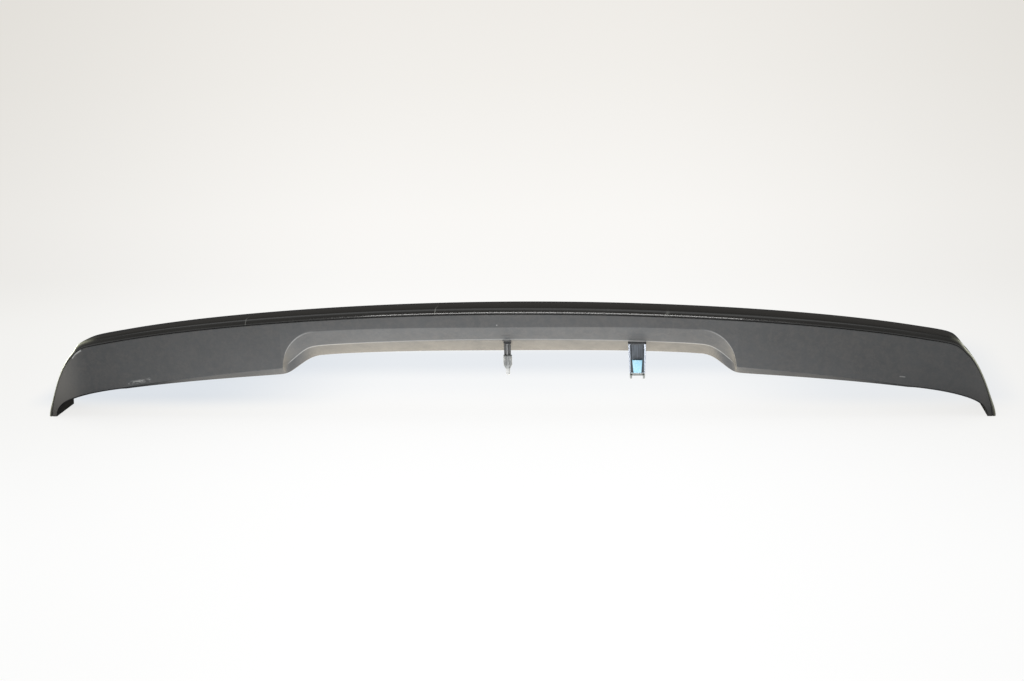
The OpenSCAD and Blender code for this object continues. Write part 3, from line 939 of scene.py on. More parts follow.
@dataclass(frozen=True)
class PinPlastic:
    """Smooth grey plastic of the pin."""

    color: Color = (0.03, 0.03, 0.03)
    barrel: Color = (0.19, 0.195, 0.19)
    nib: Color = (0.42, 0.42, 0.41)
    rib: Color = (0.2, 0.2, 0.2)
    streaked: Color = (0.06, 0.06, 0.06)

    def material(self) -> bpy.types.Material:
        """Builds the material.

        Returns:
            The material.
        """
        made, s = new_shader("pin_plastic")
        x, _, z = s.axes()
        mottle = s.noise(700, 4, 0.6)
        streaks = s.noise(420, 2, 0.5, (1, 1, 0.1)).ramp(0.48, 0.62)
        # Above the barrel the shaft stays near-black like the collar; beside the middle rib this near-black is
        # painted shade.
        base = s.blend(z.ramp(72.4, 71.0), self.color, self.barrel)
        base = s.blend(z.ramp(58, 54), base, self.nib)
        base = s.blend(abs(x).ramp(0.9, 0.3) * z.ramp(72, 73.5), base, self.rib)
        base = s.blend(streaks * 0.6, base, self.streaked)
        s.surface({"Base Color": base, "Roughness": 0.35 + mottle * 0.15}, s.bump(mottle, 0.15, 0.0002))
        return made


@dataclass(frozen=True)
class Foam:
    """Closed-cell black foam."""

    color: Color = (0.012, 0.012, 0.013)
    cell_wall: Color = (0.03, 0.03, 0.031)

    def material(self) -> bpy.types.Material:
        """Builds the material.

        Returns:
            The material.
        """
        made, s = new_shader("foam")
        inputs = {"Vector": s.place(), "Scale": 1400.0}
        cells = s.node("ShaderNodeTexVoronoi", {"feature": "F1"}, inputs, "Distance")
        base = s.blend(cells.ramp(0.2, 0.7), self.color, self.cell_wall)
        s.surface({"Base Color": base, "Roughness": 0.88}, s.bump(cells, 0.4, 0.0003))
        return made


@dataclass(frozen=True)
class SpringSteel:
    """Bright zinc-plated spring steel; the tongue's bluish tint is partly a painted reflection, the window's inside
    gets painted shade, and the nose is darker.
    """

    color: Color = (0.30, 0.325, 0.37)
    dull: Color = (0.27, 0.29, 0.33)
    inside: Color = (0.06, 0.065, 0.07)
    tongue_tint_and_reflection: tuple[Color, Color] = ((0.19, 0.35, 0.44), (0.27, 0.40, 0.46))
    nose: Color = (0.18, 0.187, 0.177)

    def material(self) -> bpy.types.Material:
        """Builds the material.

        Returns:
            The material.
        """
        made, s = new_shader("spring_steel")
        x, _, z = s.axes()
        off, down = abs(x - FIX.clip_x), FIX.clip_root_z - FIX.clip_gasket_t - z
        brushed = s.noise(500, 3, 0.6, (4, 1, 0.12))
        spots = s.noise(160, 4, 0.6).ramp(0.55, 0.8)
        patch = s.noise(700, 4, 0.7).ramp(0.4, 0.62)
        # The tongue's bluish tones are partly a painted reflection.
        tongue = off.ramp(6.3, 5.9) * down.ramp(15, 17) * down.ramp(32.6, 31.6)
        base = s.blend(spots * 0.4, self.color, self.dull)
        # Painted shade on the inner walls of the window.
        base = s.blend(off.ramp(7.6, 6.9) * down.ramp(33, 31), base, self.inside)
        base = s.blend(tongue, base, s.blend(patch, *self.tongue_tint_and_reflection))
        base = s.blend(down.ramp(31.8, 33), base, self.nose)
        s.surface({"Base Color": base, "Metallic": 1.0, "Roughness": 0.22 + brushed * 0.2},
                  s.bump(brushed, 0.1, 0.0001))
        return made


@dataclass(frozen=True)
class Brass:
    """Turned brass of the inserts."""

    color: Color = (0.70, 0.50, 0.24)
    tarnished: Color = (0.42, 0.29, 0.13)

    def material(self) -> bpy.types.Material:
        """Builds the material.

        Returns:
            The material.
        """
        made, s = new_shader("brass")
        tone = s.noise(300, 4, 0.6)
        base = s.blend(tone.ramp(0.4, 0.8) * 0.5, self.color, self.tarnished)
        s.surface({"Base Color": base, "Metallic": 1.0, "Roughness": 0.28 + tone * 0.15},
                  s.bump(tone, 0.1, 0.0001))
        return made


class Slot(Enum):
    """Finishes, named as in the record."""

    GLOSS_PAINT = "gloss_paint"
    GRAINED_PLASTIC = "grained_plastic"
    PIN_PLASTIC = "pin_plastic"
    FOAM = "foam"
    SPRING_STEEL = "spring_steel"
    BRASS = "brass"


FINISHES = {Slot.GLOSS_PAINT: GlossPaint(), Slot.GRAINED_PLASTIC: GrainedPlastic(), Slot.PIN_PLASTIC: PinPlastic(),
            Slot.FOAM: Foam(), Slot.SPRING_STEEL: SpringSteel(), Slot.BRASS: Brass()}


def link(obj: bpy.types.Object) -> None:
    """Puts an object into the scene."""
    bpy.context.scene.collection.objects.link(obj)


def as_object(name: str, bm: bmesh.types.BMesh, material: bpy.types.Material) -> bpy.types.Object:
    """Turns a bmesh into an object at the origin and frees the bmesh.

    Args:
        name: Name of the object and of its mesh.
        bm: The mesh, in metres.
        material: Its material.

    Returns:
        The object, in the scene.
    """
    mesh = bpy.data.meshes.new(name)
    bm.to_mesh(mesh)
    bm.free()
    mesh.materials.append(material)
    obj = bpy.data.objects.new(name, mesh)
    link(obj)
    return obj


class Workshop:
    """Turns finished meshes into pieces of the part, with every face outwards."""

    sharp_deg: float = 32.0
    sliver_m: float = 1e-7

    def __init__(self) -> None:
        """Builds every finish once."""
        self.materials = {slot: finish.material() for slot, finish in FINISHES.items()}

    def piece(self, name: str, bm: bmesh.types.BMesh, slot: Slot, node: str) -> None:
        """Makes one piece of the part.

        Args:
            name: Name of the piece.
            bm: Its mesh, in metres in the row frame; freed here.
            slot: Its finish.
            node: The CAD node that it stands for.
        """
        bmesh.ops.remove_doubles(bm, verts=bm.verts, dist=MERGE_M)
        bmesh.ops.dissolve_degenerate(bm, edges=bm.edges, dist=self.sliver_m)
        bmesh.ops.recalc_face_normals(bm, faces=bm.faces)
        if bm.calc_volume(signed=True) < 0:
            bmesh.ops.reverse_faces(bm, faces=bm.faces)
        limit = math.radians(self.sharp_deg)
        for face in bm.faces:
            face.smooth = True
        for edge in bm.edges:
            edge.smooth = len(edge.link_faces) == 2 and edge.calc_face_angle(0.0) < limit
        obj = as_object(name, bm, self.materials[slot])
        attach(obj, "root")
        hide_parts(node)
        LOG.info("%s: %d faces, stands for %s", name, len(obj.data.polygons), node)


def grow_ring(bm: bmesh.types.BMesh, edges: list[bmesh.types.BMEdge],
              ring: list[bmesh.types.BMVert]) -> tuple[list[bmesh.types.BMEdge], list[bmesh.types.BMVert]]:
    """Extrudes a closed ring of edges in place.

    Args:
        bm: The mesh.
        edges: The ring's edges.
        ring: Its vertices, in order.

    Returns:
        The new ring's edges and its vertices, in the same order.
    """
    made = bmesh.ops.extrude_edge_only(bm, edges=edges)["geom"]
    twins = {tuple(v.co): v for v in made if isinstance(v, bmesh.types.BMVert)}
    ring = [twins[tuple(v.co)] for v in ring]
    return [bm.edges.get((ring[i - 1], ring[i])) for i in range(len(ring))], ring


def sweep(bm: bmesh.types.BMesh, outline_of: Callable[[Station], list[Point2]], stations: Sequence[Station]) -> None:
    """Extrudes a section from station to station, closes the tip and mirrors the half.

    Args:
        bm: The mesh that gets the solid.
        outline_of: Gives the closed section of a station as (depth, distance below the seam).
        stations: The stations of the right half, the first in the middle.
    """
    ring = [bm.verts.new(ARCH.place(stations[0], p)) for p in outline_of(stations[0])]
    edges = [bm.edges.new((ring[i - 1], ring[i])) for i in range(len(ring))]
    for st in stations[1:]:
        edges, ring = grow_ring(bm, edges, ring)
        for vert, p in zip(ring, outline_of(st)):
            vert.co = ARCH.place(st, p)
    bm.faces.new(ring)
    geom = bm.verts[:] + bm.edges[:] + bm.faces[:]
    bmesh.ops.mirror(bm, geom=geom, matrix=Matrix.Identity(4), merge_dist=MERGE_M, axis="X")


def tower(bm: bmesh.types.BMesh, at: Point3, levels: Sequence[tuple[float, float]], sides: int = 40,
          shape: Callable[[float, float, float], float] | None = None, closed: bool = True) -> None:
    """Extrudes a circle upwards through levels, each with its own radius.

    Args:
        bm: The mesh that gets the solid.
        at: Centre of the base, in millimetres in the row frame.
        levels: Height above the base and radius of each level.
        sides: Sides of the circle.
        shape: Changes a radius, given the angle, the height and the radius.
        closed: Closes both ends.
    """
    ring = bmesh.ops.create_circle(bm, cap_ends=False, segments=sides, radius=MM)["verts"]
    angles = [math.atan2(v.co.y, v.co.x) for v in ring]
    edges = [bm.edges.get((ring[i - 1], ring[i])) for i in range(sides)]
    for level, (height, radius) in enumerate(levels):
        if level:
            edges, ring = grow_ring(bm, edges, ring)
        for vert, angle in zip(ring, angles):
            r = shape(angle, height, radius) if shape else radius
            vert.co = Vector((at[0] + r * math.cos(angle), at[1] + r * math.sin(angle), at[2] + height)) * MM
        if closed and not level:
            bm.faces.new(list(reversed(ring)))
    if closed:
        bm.faces.new(ring)


def soften(bm: bmesh.types.BMesh, edges: list[bmesh.types.BMEdge], width: float) -> None:
    """Bevels edges by a width in millimetres."""
    bmesh.ops.bevel(bm, geom=edges, offset=width * MM, offset_type="OFFSET", segments=2, profile=0.5,
                    affect="EDGES", material=-1)


def block(bm: bmesh.types.BMesh, middle: Point3, size: Point3, bevel: float) -> None:
    """Adds a block with bevelled edges.

    Args:
        bm: The mesh that gets the block.
        middle: Its middle in millimetres.
        size: Its size.
        bevel: Width of the bevel.
    """
    made = bmesh.ops.create_cube(bm, size=1.0)["verts"]
    bmesh.ops.scale(bm, vec=Vector(size) * MM, verts=made)
    bmesh.ops.translate(bm, vec=Vector(middle) * MM, verts=made)
    soften(bm, list({e for v in made for e in v.link_edges}), bevel)


def prism(bm: bmesh.types.BMesh, at: Point3, corners: Sequence[Point2], thick: float) -> list[bmesh.types.BMEdge]:
    """Adds a flat plate that stands across the car.

    Args:
        bm: The mesh that gets the plate.
        at: Origin of its corners, on its rear side.
        corners: Outline as (across, up).
        thick: Thickness, forwards.

    Returns:
        The plate's edges.
    """
    before = set(bm.edges)
    face = bm.faces.new([bm.verts.new(Vector((at[0] + x, at[1], at[2] + z)) * MM) for x, z in corners])
    grown = bmesh.ops.extrude_face_region(bm, geom=[face])["geom"]
    moved = [v for v in grown if isinstance(v, bmesh.types.BMVert)]
    bmesh.ops.translate(bm, vec=(0, thick * MM, 0), verts=moved)
    return [e for e in bm.edges if e not in before]


@dataclass
class GlossSkin:
    """The painted top skin with its rolled rear edge and both side walls."""

    roll_reach: float = 3.8
    roll_steps: int = 9
    top_steps: int = 3
    crown_at: float = 0.10
    crown_rise: float = 0.2
    # Points of the top from the rear edge to the lip: share of the depth, share of the dip, and how far the inner
    # side is set back and down, in walls.
    top_line: tuple[tuple[float, float, float, float], ...] = (
        (0.30, 0.015, 0.0, 1.0), (0.52, 0.09, 0.0, 1.0), (0.70, 0.19, 0.0, 1.0), (0.83, 0.35, 0.35, 0.95),
        (0.93, 0.56, 0.5, 0.9))
    nose_back: Point2 = (0.6, 0.78)
    lip_inner: Point2 = (0.5, 0.82)

    def outline(self, st: Station) -> list[Point2]:
        """Section of the skin at a station.

        Args:
            st: The station.

        Returns:
            The closed section as (depth, distance below the seam).
        """
        a = ARCH
        d, f, t, top, dip = a.depth_at(st), st.dip, a.wall, a.roll_at(st), a.front_dip * st.dip
        roll = [(self.roll_reach * (1 - math.cos(v)), -top * math.sin(v))
                for v in (QUARTER * k / self.roll_steps for k in range(self.roll_steps + 1))]
        crown, nose, lip = -top - self.crown_rise, self.nose_back, self.lip_inner
        outer = [roll[-1], (self.crown_at * d, crown)]
        outer += [(at * d, -top + fall * dip) for at, fall, _, _ in self.top_line]
        outer += [(d - nose[0], -top + nose[1] * dip), (d, -top + dip)]
        inner = [(d - t, -top + dip + 0.15 * t), (d - t - lip[0], -top + lip[1] * dip + 0.5 * t)]
        inner += [(at * d - back * t * f, -top + fall * dip + down * t)
                  for at, fall, back, down in reversed(self.top_line)]
        inner += [(self.crown_at * d, min(crown + t, -1.3 * a.inner_up)),
                  (t + 0.4, min(-top + t, -a.inner_up)), (t, 0)]
        return roll[:-1] + catmull(outer, self.top_steps) + inner

    def build(self, shop: Workshop) -> None:
        """Builds and dresses the skin.

        Args:
            shop: Workshop that dresses the pieces.
        """
        bm = bmesh.new()
        sweep(bm, self.outline, ARCH.stations)
        shop.piece("gloss_skin", bm, Slot.GLOSS_PAINT, "top_skin")


@dataclass
class GrainedCover:
    """The lower cover with the rear face, the recess, the underside and its bosses."""

    crease_r: float = 1.6
    seam_r: float = 1.2
    edge_r: float = 1.0
    lip_r: float = 1.4
    tip_lip_r: float = 0.2
    arc_steps: int = 5
    corner_steps: int = 6
    tip_len: float = 24
    tip_wall_share: float = 0.32
    end_gap_share: float = 0.4
    end_gap_fade: float = 60
    front_chamfer: float = 2.5
    wall_over: float = 2.2
    shelf: float = 6
    pad_bevel: float = 0.3
    blade_taper: Point2 = (2, 3)
    # Profiles of the bosses as (height, radius) from below.
    pin_boss: tuple[Point2, ...] = ((0, 5.8), (0.3, 6.2), (11.6, 6.2))
    insert_boss: tuple[Point2, ...] = ((0, 7.1), (0.4, 7.5), (12, 7.5))

    def outline(self, st: Station) -> list[Point2]:
        """Section of the cover at a station: the rear face first, then the front wall and the hidden inner side.

        Args:
            st: The station.

        Returns:
            The closed section as (depth, distance below the seam).
        """
        a = ARCH
        length = st.lip[1]
        near_tip = clamp01((length - a.foot_w) / self.tip_len)
        t = mix(self.tip_wall_share * a.foot_w, a.wall, near_tip)
        r = min(self.seam_r, 0.3 * length)
        front, dip = a.front_of(st), a.front_dip * st.dip
        bottom = length - a.under_rise * near_tip
        top_in = -a.roll_at(st) + 0.82 * dip + 0.5 * a.wall + a.joint_gap
        wall_top = min(top_in + self.wall_over, bottom - 1.4 * t)
        k, e, c = st.crease, st.edge, st.lip
        g = a.joint_gap * mix(1, self.end_gap_share, ease((st.seam[0] - a.end_start_x) / self.end_gap_fade))
        tongue = (max(r, a.wall + g) + 0.3, g + min(-0.05, a.wall - a.roll_at(st)))
        corner = [(r * (1 - math.sin(v)) + a.face_lean * r * math.sin(v), g + r * (1 - math.cos(v)))
                  for v in (QUARTER * n / self.corner_steps for n in range(self.corner_steps + 1))]
        seen = corner + [k, e, c]
        chamfer, shelf = self.front_chamfer * near_tip, r + self.shelf * near_tip + t
        wall = [(front - chamfer, bottom), (front, bottom - chamfer - 0.2), (front, wall_top), (front - t, wall_top),
                (front - t, bottom - t)]
        inside = [(c[0] + 0.4 * t, c[1] - t - 0.1 * t * near_tip),
                  (e[0] + 0.8 * t, min(e[1] - 0.45 * t, c[1] - 1.3 * t)),
                  (k[0] + t, min(k[1] - 0.3 * t, c[1] - 1.6 * t)), (0.6 * r + t, min(g + t, c[1] - 2 * t)),
                  (shelf, min(g + t, c[1] - 2.2 * t)), (shelf, tongue[1]), tongue, (tongue[0], g)]
        radii = [0.0] * len(corner) + [self.crease_r, self.edge_r, self.lip_r * near_tip + self.tip_lip_r]
        hidden = wall + inside
        return rounded(seen + hidden, radii + [0.0] * len(hidden), self.arc_steps)

    def bosses(self) -> bmesh.types.BMesh:
        """Bosses of the pin and of the inserts.

        Returns:
            Their mesh.
        """
        bm = bmesh.new()
        tower(bm, (0, FIX.pin_y, FIX.root_z), self.pin_boss)
        for place in FIX.insert_places():
            tower(bm, place, self.insert_boss)
        return bm

    def blade(self) -> bmesh.types.BMesh:
        """Pad of the clip and the blade with its pointed tip.

        Returns:
            Its mesh.
        """
        bm = bmesh.new()
        half, tip, (x, y, z) = FIX.blade_w / 2, FIX.blade_tip, FIX.clip_root
        block(bm, (x, y, z + FIX.pad_t / 2), (FIX.clip_w, FIX.pad_depth, FIX.pad_t), self.pad_bevel)
        shoulder, lead = tip + self.blade_taper[1], half - self.blade_taper[0]
        prism(bm, (x, y - FIX.blade_t / 2, z),
              [(-half, 1), (half, 1), (half, shoulder), (lead, tip), (-lead, tip), (-half, shoulder)], FIX.blade_t)
        return bm

    def build(self, shop: Workshop) -> None:
        """Builds and dresses the cover with its bosses and the clip's blade.

        Args:
            shop: Workshop that dresses the pieces.
        """
        bm = bmesh.new()
        sweep(bm, self.outline, ARCH.stations)
        for name, made in (("grained_cover", bm), ("cover_bosses", self.bosses()), ("clip_blade", self.blade())):
            shop.piece(name, made, Slot.GRAINED_PLASTIC, "rear_cover")


@dataclass
class LocatingPin:
    """The pin in the middle, with its foam gasket."""

    rib_half: float = 1.1
    collar_h: float = 1.2
    shaft_len: float = 12.6
    barrel_len: float = 11
    taper_len: float = 5.2
    nib_len: float = 6
    flute_depth: float = 1.6
    flute_width: float = 0.42
    stem_r: float = 2.5
    stem_h: float = 12.3
    rib_share: float = 0.97
    rib_bevel: float = 0.22
    foam: tuple[Point2, ...] = ((0, 4.1), (0.3, 4.3), (2.9, 4.3), (3.18, 4.15))

    def flute(self, angle: float, height: float, radius: float) -> float:
        """Radius of the barrel with its four flutes.

        Args:
            angle: Angle round the pin.
            height: Height above the lower end.
            radius: Radius without flutes.

        Returns:
            The radius.
        """
        start = self.nib_len + self.taper_len + 0.6 * self.barrel_len
        if height > start or height < self.nib_len + 0.2:
            return radius
        off = abs(angle % QUARTER - QUARTER / 2) / (QUARTER / 2)
        depth = self.flute_depth * ease((start - height) / 1.5) * ease((height - self.nib_len) / 3)
        return radius - depth * (1 - clamp01(off / self.flute_width))

    def levels(self) -> list[tuple[float, float]]:
        """Height and radius of the nib, the taper and the barrel, from the lower end.

        Returns:
            Height and radius of each level.
        """
        barrel, shaft, nib = FIX.pin_d / 2, FIX.pin_shaft_d / 2, FIX.pin_nib_d / 2
        n0, n1 = self.nib_len, self.nib_len + self.taper_len
        top = n1 + self.barrel_len
        out = [(0, 0.6), (0.25, 1.2), (1.2, nib), (n0 - 0.4, nib), (n0, nib + 0.1)]
        out += [(mix(n0, n1, k / 6), mix(nib + 0.1, barrel, ease(k / 6) * 0.4 + k / 6 * 0.6)) for k in range(1, 7)]
        out += [(mix(n1, top - 0.9, k / 10), barrel) for k in range(1, 11)]
        return out + [(top - 0.6, barrel - 0.12), (top, shaft)]

    def build(self, shop: Workshop) -> None:
        """Builds and dresses the pin and its gasket.

        Args:
            shop: Workshop that dresses the pieces.
        """
        x, y, z = 0.0, FIX.pin_y, FIX.root_z - FIX.gasket_t
        below = self.shaft_len + self.barrel_len + self.taper_len + self.nib_len
        r = FIX.pin_shaft_d / 2
        bm = bmesh.new()
        tower(bm, (x, y, z - below), self.levels(), 64, self.flute)
        tower(bm, (x, y, z - self.collar_h), [(0, r - 0.2), (0.2, r), (1.0, r), (1.2, r - 0.2)], 48)
        tower(bm, (x, y, z - 0.1), [(0, self.stem_r), (self.stem_h, self.stem_r)], 32)
        middle, tall = (x, y, z - (self.shaft_len + self.collar_h) / 2), self.shaft_len - self.collar_h + 0.2
        for wide, deep in ((r, self.rib_half), (self.rib_half, r)):
            block(bm, middle, (2 * wide * self.rib_share, 2 * deep * self.rib_share, tall), self.rib_bevel)
        shop.piece("locating_pin", bm, Slot.PIN_PLASTIC, "centre_pin")
        bm = bmesh.new()
        tower(bm, (x, y, z), self.foam, 48)
        shop.piece("pin_foam", bm, Slot.FOAM, "pin_gasket")


@dataclass
class SpringClip:
    """The folded steel clip on its blade, with its foam pad."""

    strip: float = 2.0
    bridge: float = 0.8
    nose_h: float = 3.2
    rim_depth: float = 2.0
    edge_r: float = 0.14
    foot_w: float = 2.4
    foam_bevel: float = 0.25
    # The tongue: half widths below and above, its length as a share of the window, and how far its end leans out.
    tongue_low: float = 4.2
    tongue_high: float = 5.4
    tongue_share: float = 0.47
    tongue_lean: float = 2.6

    def plate(self, bm: bmesh.types.BMesh, corners: Sequence[Point2], y: float, thick: float) -> None:
        """Adds a flat plate with bevelled edges.

        Args:
            bm: The mesh that gets the plate.
            corners: Outline as (across, up) in millimetres from the clip's root.
            y: Rear side of the plate, from the clip's middle.
            thick: Thickness, forwards.
        """
        x0, y0, z0 = FIX.clip_top
        soften(bm, prism(bm, (x0, y0 + y, z0), corners, thick), self.edge_r)

    def half_w(self, z: float, inset: float = 0.0) -> float:
        """Half of the clip's width at a height below its root."""
        return mix(FIX.clip_w, FIX.clip_fold_w, -z / FIX.clip_len) / 2 - inset

    def steel(self) -> bmesh.types.BMesh:
        """Face with its window, rims, fold and rear leaf.

        Returns:
            Its mesh.
        """
        t, foot, w, s = FIX.clip_t, -FIX.clip_len, self.half_w, self.strip
        front, back = -FIX.blade_t / 2 - FIX.seat_gap - t, FIX.blade_t / 2 + FIX.seat_gap
        top, low, end = -self.bridge, foot + self.nose_h, foot - FIX.foot_len
        bm = bmesh.new()
        self.plate(bm, [(-w(0), 0), (w(0), 0), (w(top), top), (-w(top), top)], front, t)
        for side in (-1, 1):
            rim = [(w(0), 0), (w(0, s), 0), (w(low, s), low), (w(low), low)]
            self.plate(bm, [(side * p[0], p[1]) for p in rim], front, t)
            flange = [(w(0, t), 0), (w(0), 0), (w(foot), foot), (w(foot, 0.3), end), (w(foot, self.foot_w), end),
                      (w(foot, self.foot_w), foot + t), (w(foot, t), foot + t)]
            self.plate(bm, [(side * p[0], p[1]) for p in flange], front - self.rim_depth, self.rim_depth)
        self.plate(bm, [(-w(low), low), (w(low), low), (w(foot), foot), (-w(foot), foot)], front, t)
        self.plate(bm, [(-w(foot), foot), (w(foot), foot), (w(foot), foot + t), (-w(foot), foot + t)], front,
                   back - front + t)
        self.plate(bm, [(-w(0), 0), (w(0), 0), (w(foot), foot), (-w(foot), foot)], back, t)
        return bm

    def tongue(self) -> bmesh.types.BMesh:
        """Sprung tongue, which leans out of the window.

        Returns:
            Its mesh.
        """
        front, low = -FIX.blade_t / 2 - FIX.seat_gap - FIX.clip_t, self.nose_h - FIX.clip_len
        tall = (-self.bridge - low) * self.tongue_share
        a, b = self.tongue_low, self.tongue_high
        bm = bmesh.new()
        self.plate(bm, [(-a, low - 0.3), (a, low - 0.3), (b, low + tall), (-b, low + tall)], front, FIX.clip_t)
        pivot = (Vector(FIX.clip_top) + Vector((0, front, low))) * MM
        lean = Matrix.Rotation(math.atan(self.tongue_lean / tall), 3, "X")
        bmesh.ops.rotate(bm, cent=pivot, matrix=lean, verts=bm.verts)
        return bm

    def build(self, shop: Workshop) -> None:
        """Builds and dresses the clip and its pad.

        Args:
            shop: Workshop that dresses the pieces.
        """
        shop.piece("steel_clip", self.steel(), Slot.SPRING_STEEL, "spring_clip")
        shop.piece("clip_tongue", self.tongue(), Slot.SPRING_STEEL, "spring_clip")
        bm = bmesh.new()
        (x, y, z), thick = FIX.clip_root, FIX.clip_gasket_t
        block(bm, (x, y, z - thick / 2), (FIX.clip_w, FIX.pad_depth, thick - 0.04), self.foam_bevel)
        shop.piece("clip_foam", bm, Slot.FOAM, "clip_gasket")


@dataclass
class Inserts:
    """The threaded inserts in the underside, with their foam rings; profiles are (height, radius) from below."""

    outer: tuple[Point2, ...] = ((0, 4.0), (3, 4.0), (3.2, 3.6), (3.8, 3.6), (4, 4.0), (6.4, 4.0), (6.6, 3.6),
                                 (7.2, 3.6), (7.4, 4.0), (10, 4.0))
    ring: tuple[Point2, ...] = ((0, 8.7), (0.3, 9.0), (2.9, 9.0), (3.18, 8.7), (3.18, 3.6), (0, 3.6), (0, 8.7))
    bore_r: float = 2.5
    thread_depth: float = 0.35
    thread_step: float = 0.5

    def build(self, shop: Workshop) -> None:
        """Builds and dresses the inserts and the rings.

        Args:
            shop: Workshop that dresses the pieces.
        """
        top = self.outer[-1][0]
        thread = [(top - self.thread_step * k, self.bore_r + self.thread_depth * (k % 2))
                  for k in range(round(top / self.thread_step) + 1)]
        bm, rings = bmesh.new(), bmesh.new()
        for x, y, z in FIX.insert_places():
            tower(bm, (x, y, z), [*self.outer, *thread, self.outer[0]], 40, None, False)
            tower(rings, (x, y, z - FIX.gasket_t), self.ring, 48, None, False)
        shop.piece("brass_inserts", bm, Slot.BRASS, "threaded_inserts")
        shop.piece("foam_rings", rings, Slot.FOAM, "insert_gaskets")


@dataclass
class FrontSeal:
    """The foam strip on the front wall."""

    width: float = 9
    thick: float = 4
    last_x: float = 409.5

    def outline(self, st: Station) -> list[Point2]:
        """Section of the strip at a station.

        Args:
            st: The station.

        Returns:
            The closed section as (depth, distance below the seam).
        """
        front = ARCH.front_of(st) + 0.02
        top = -ARCH.roll_at(st) + ARCH.front_dip * st.dip + 0.15 * ARCH.wall + 1
        w, t = self.width, self.thick
        corners = [(front, top), (front + 0.8 * t, top + 0.12 * w), (front + t, top + 0.4 * w),
                   (front + 0.9 * t, top + 0.8 * w), (front, top + w)]
        return rounded(corners, [0.2, 1.2, 1.5, 1.5, 0.2], 4)

    def build(self, shop: Workshop) -> None:
        """Builds and dresses the strip.

        Args:
            shop: Workshop that dresses the pieces.
        """
        bm = bmesh.new()
        sweep(bm, self.outline, [st for st in ARCH.stations if st.seam[0] <= self.last_x])
        shop.piece("foam_strip", bm, Slot.FOAM, "front_seal")


@dataclass(frozen=True)
class Lamp:
    """A soft box, with places and sizes in metres and its power in watts."""

    name: str
    at: Point3
    towards: Point3
    size: Point2
    power: float
    color: Color


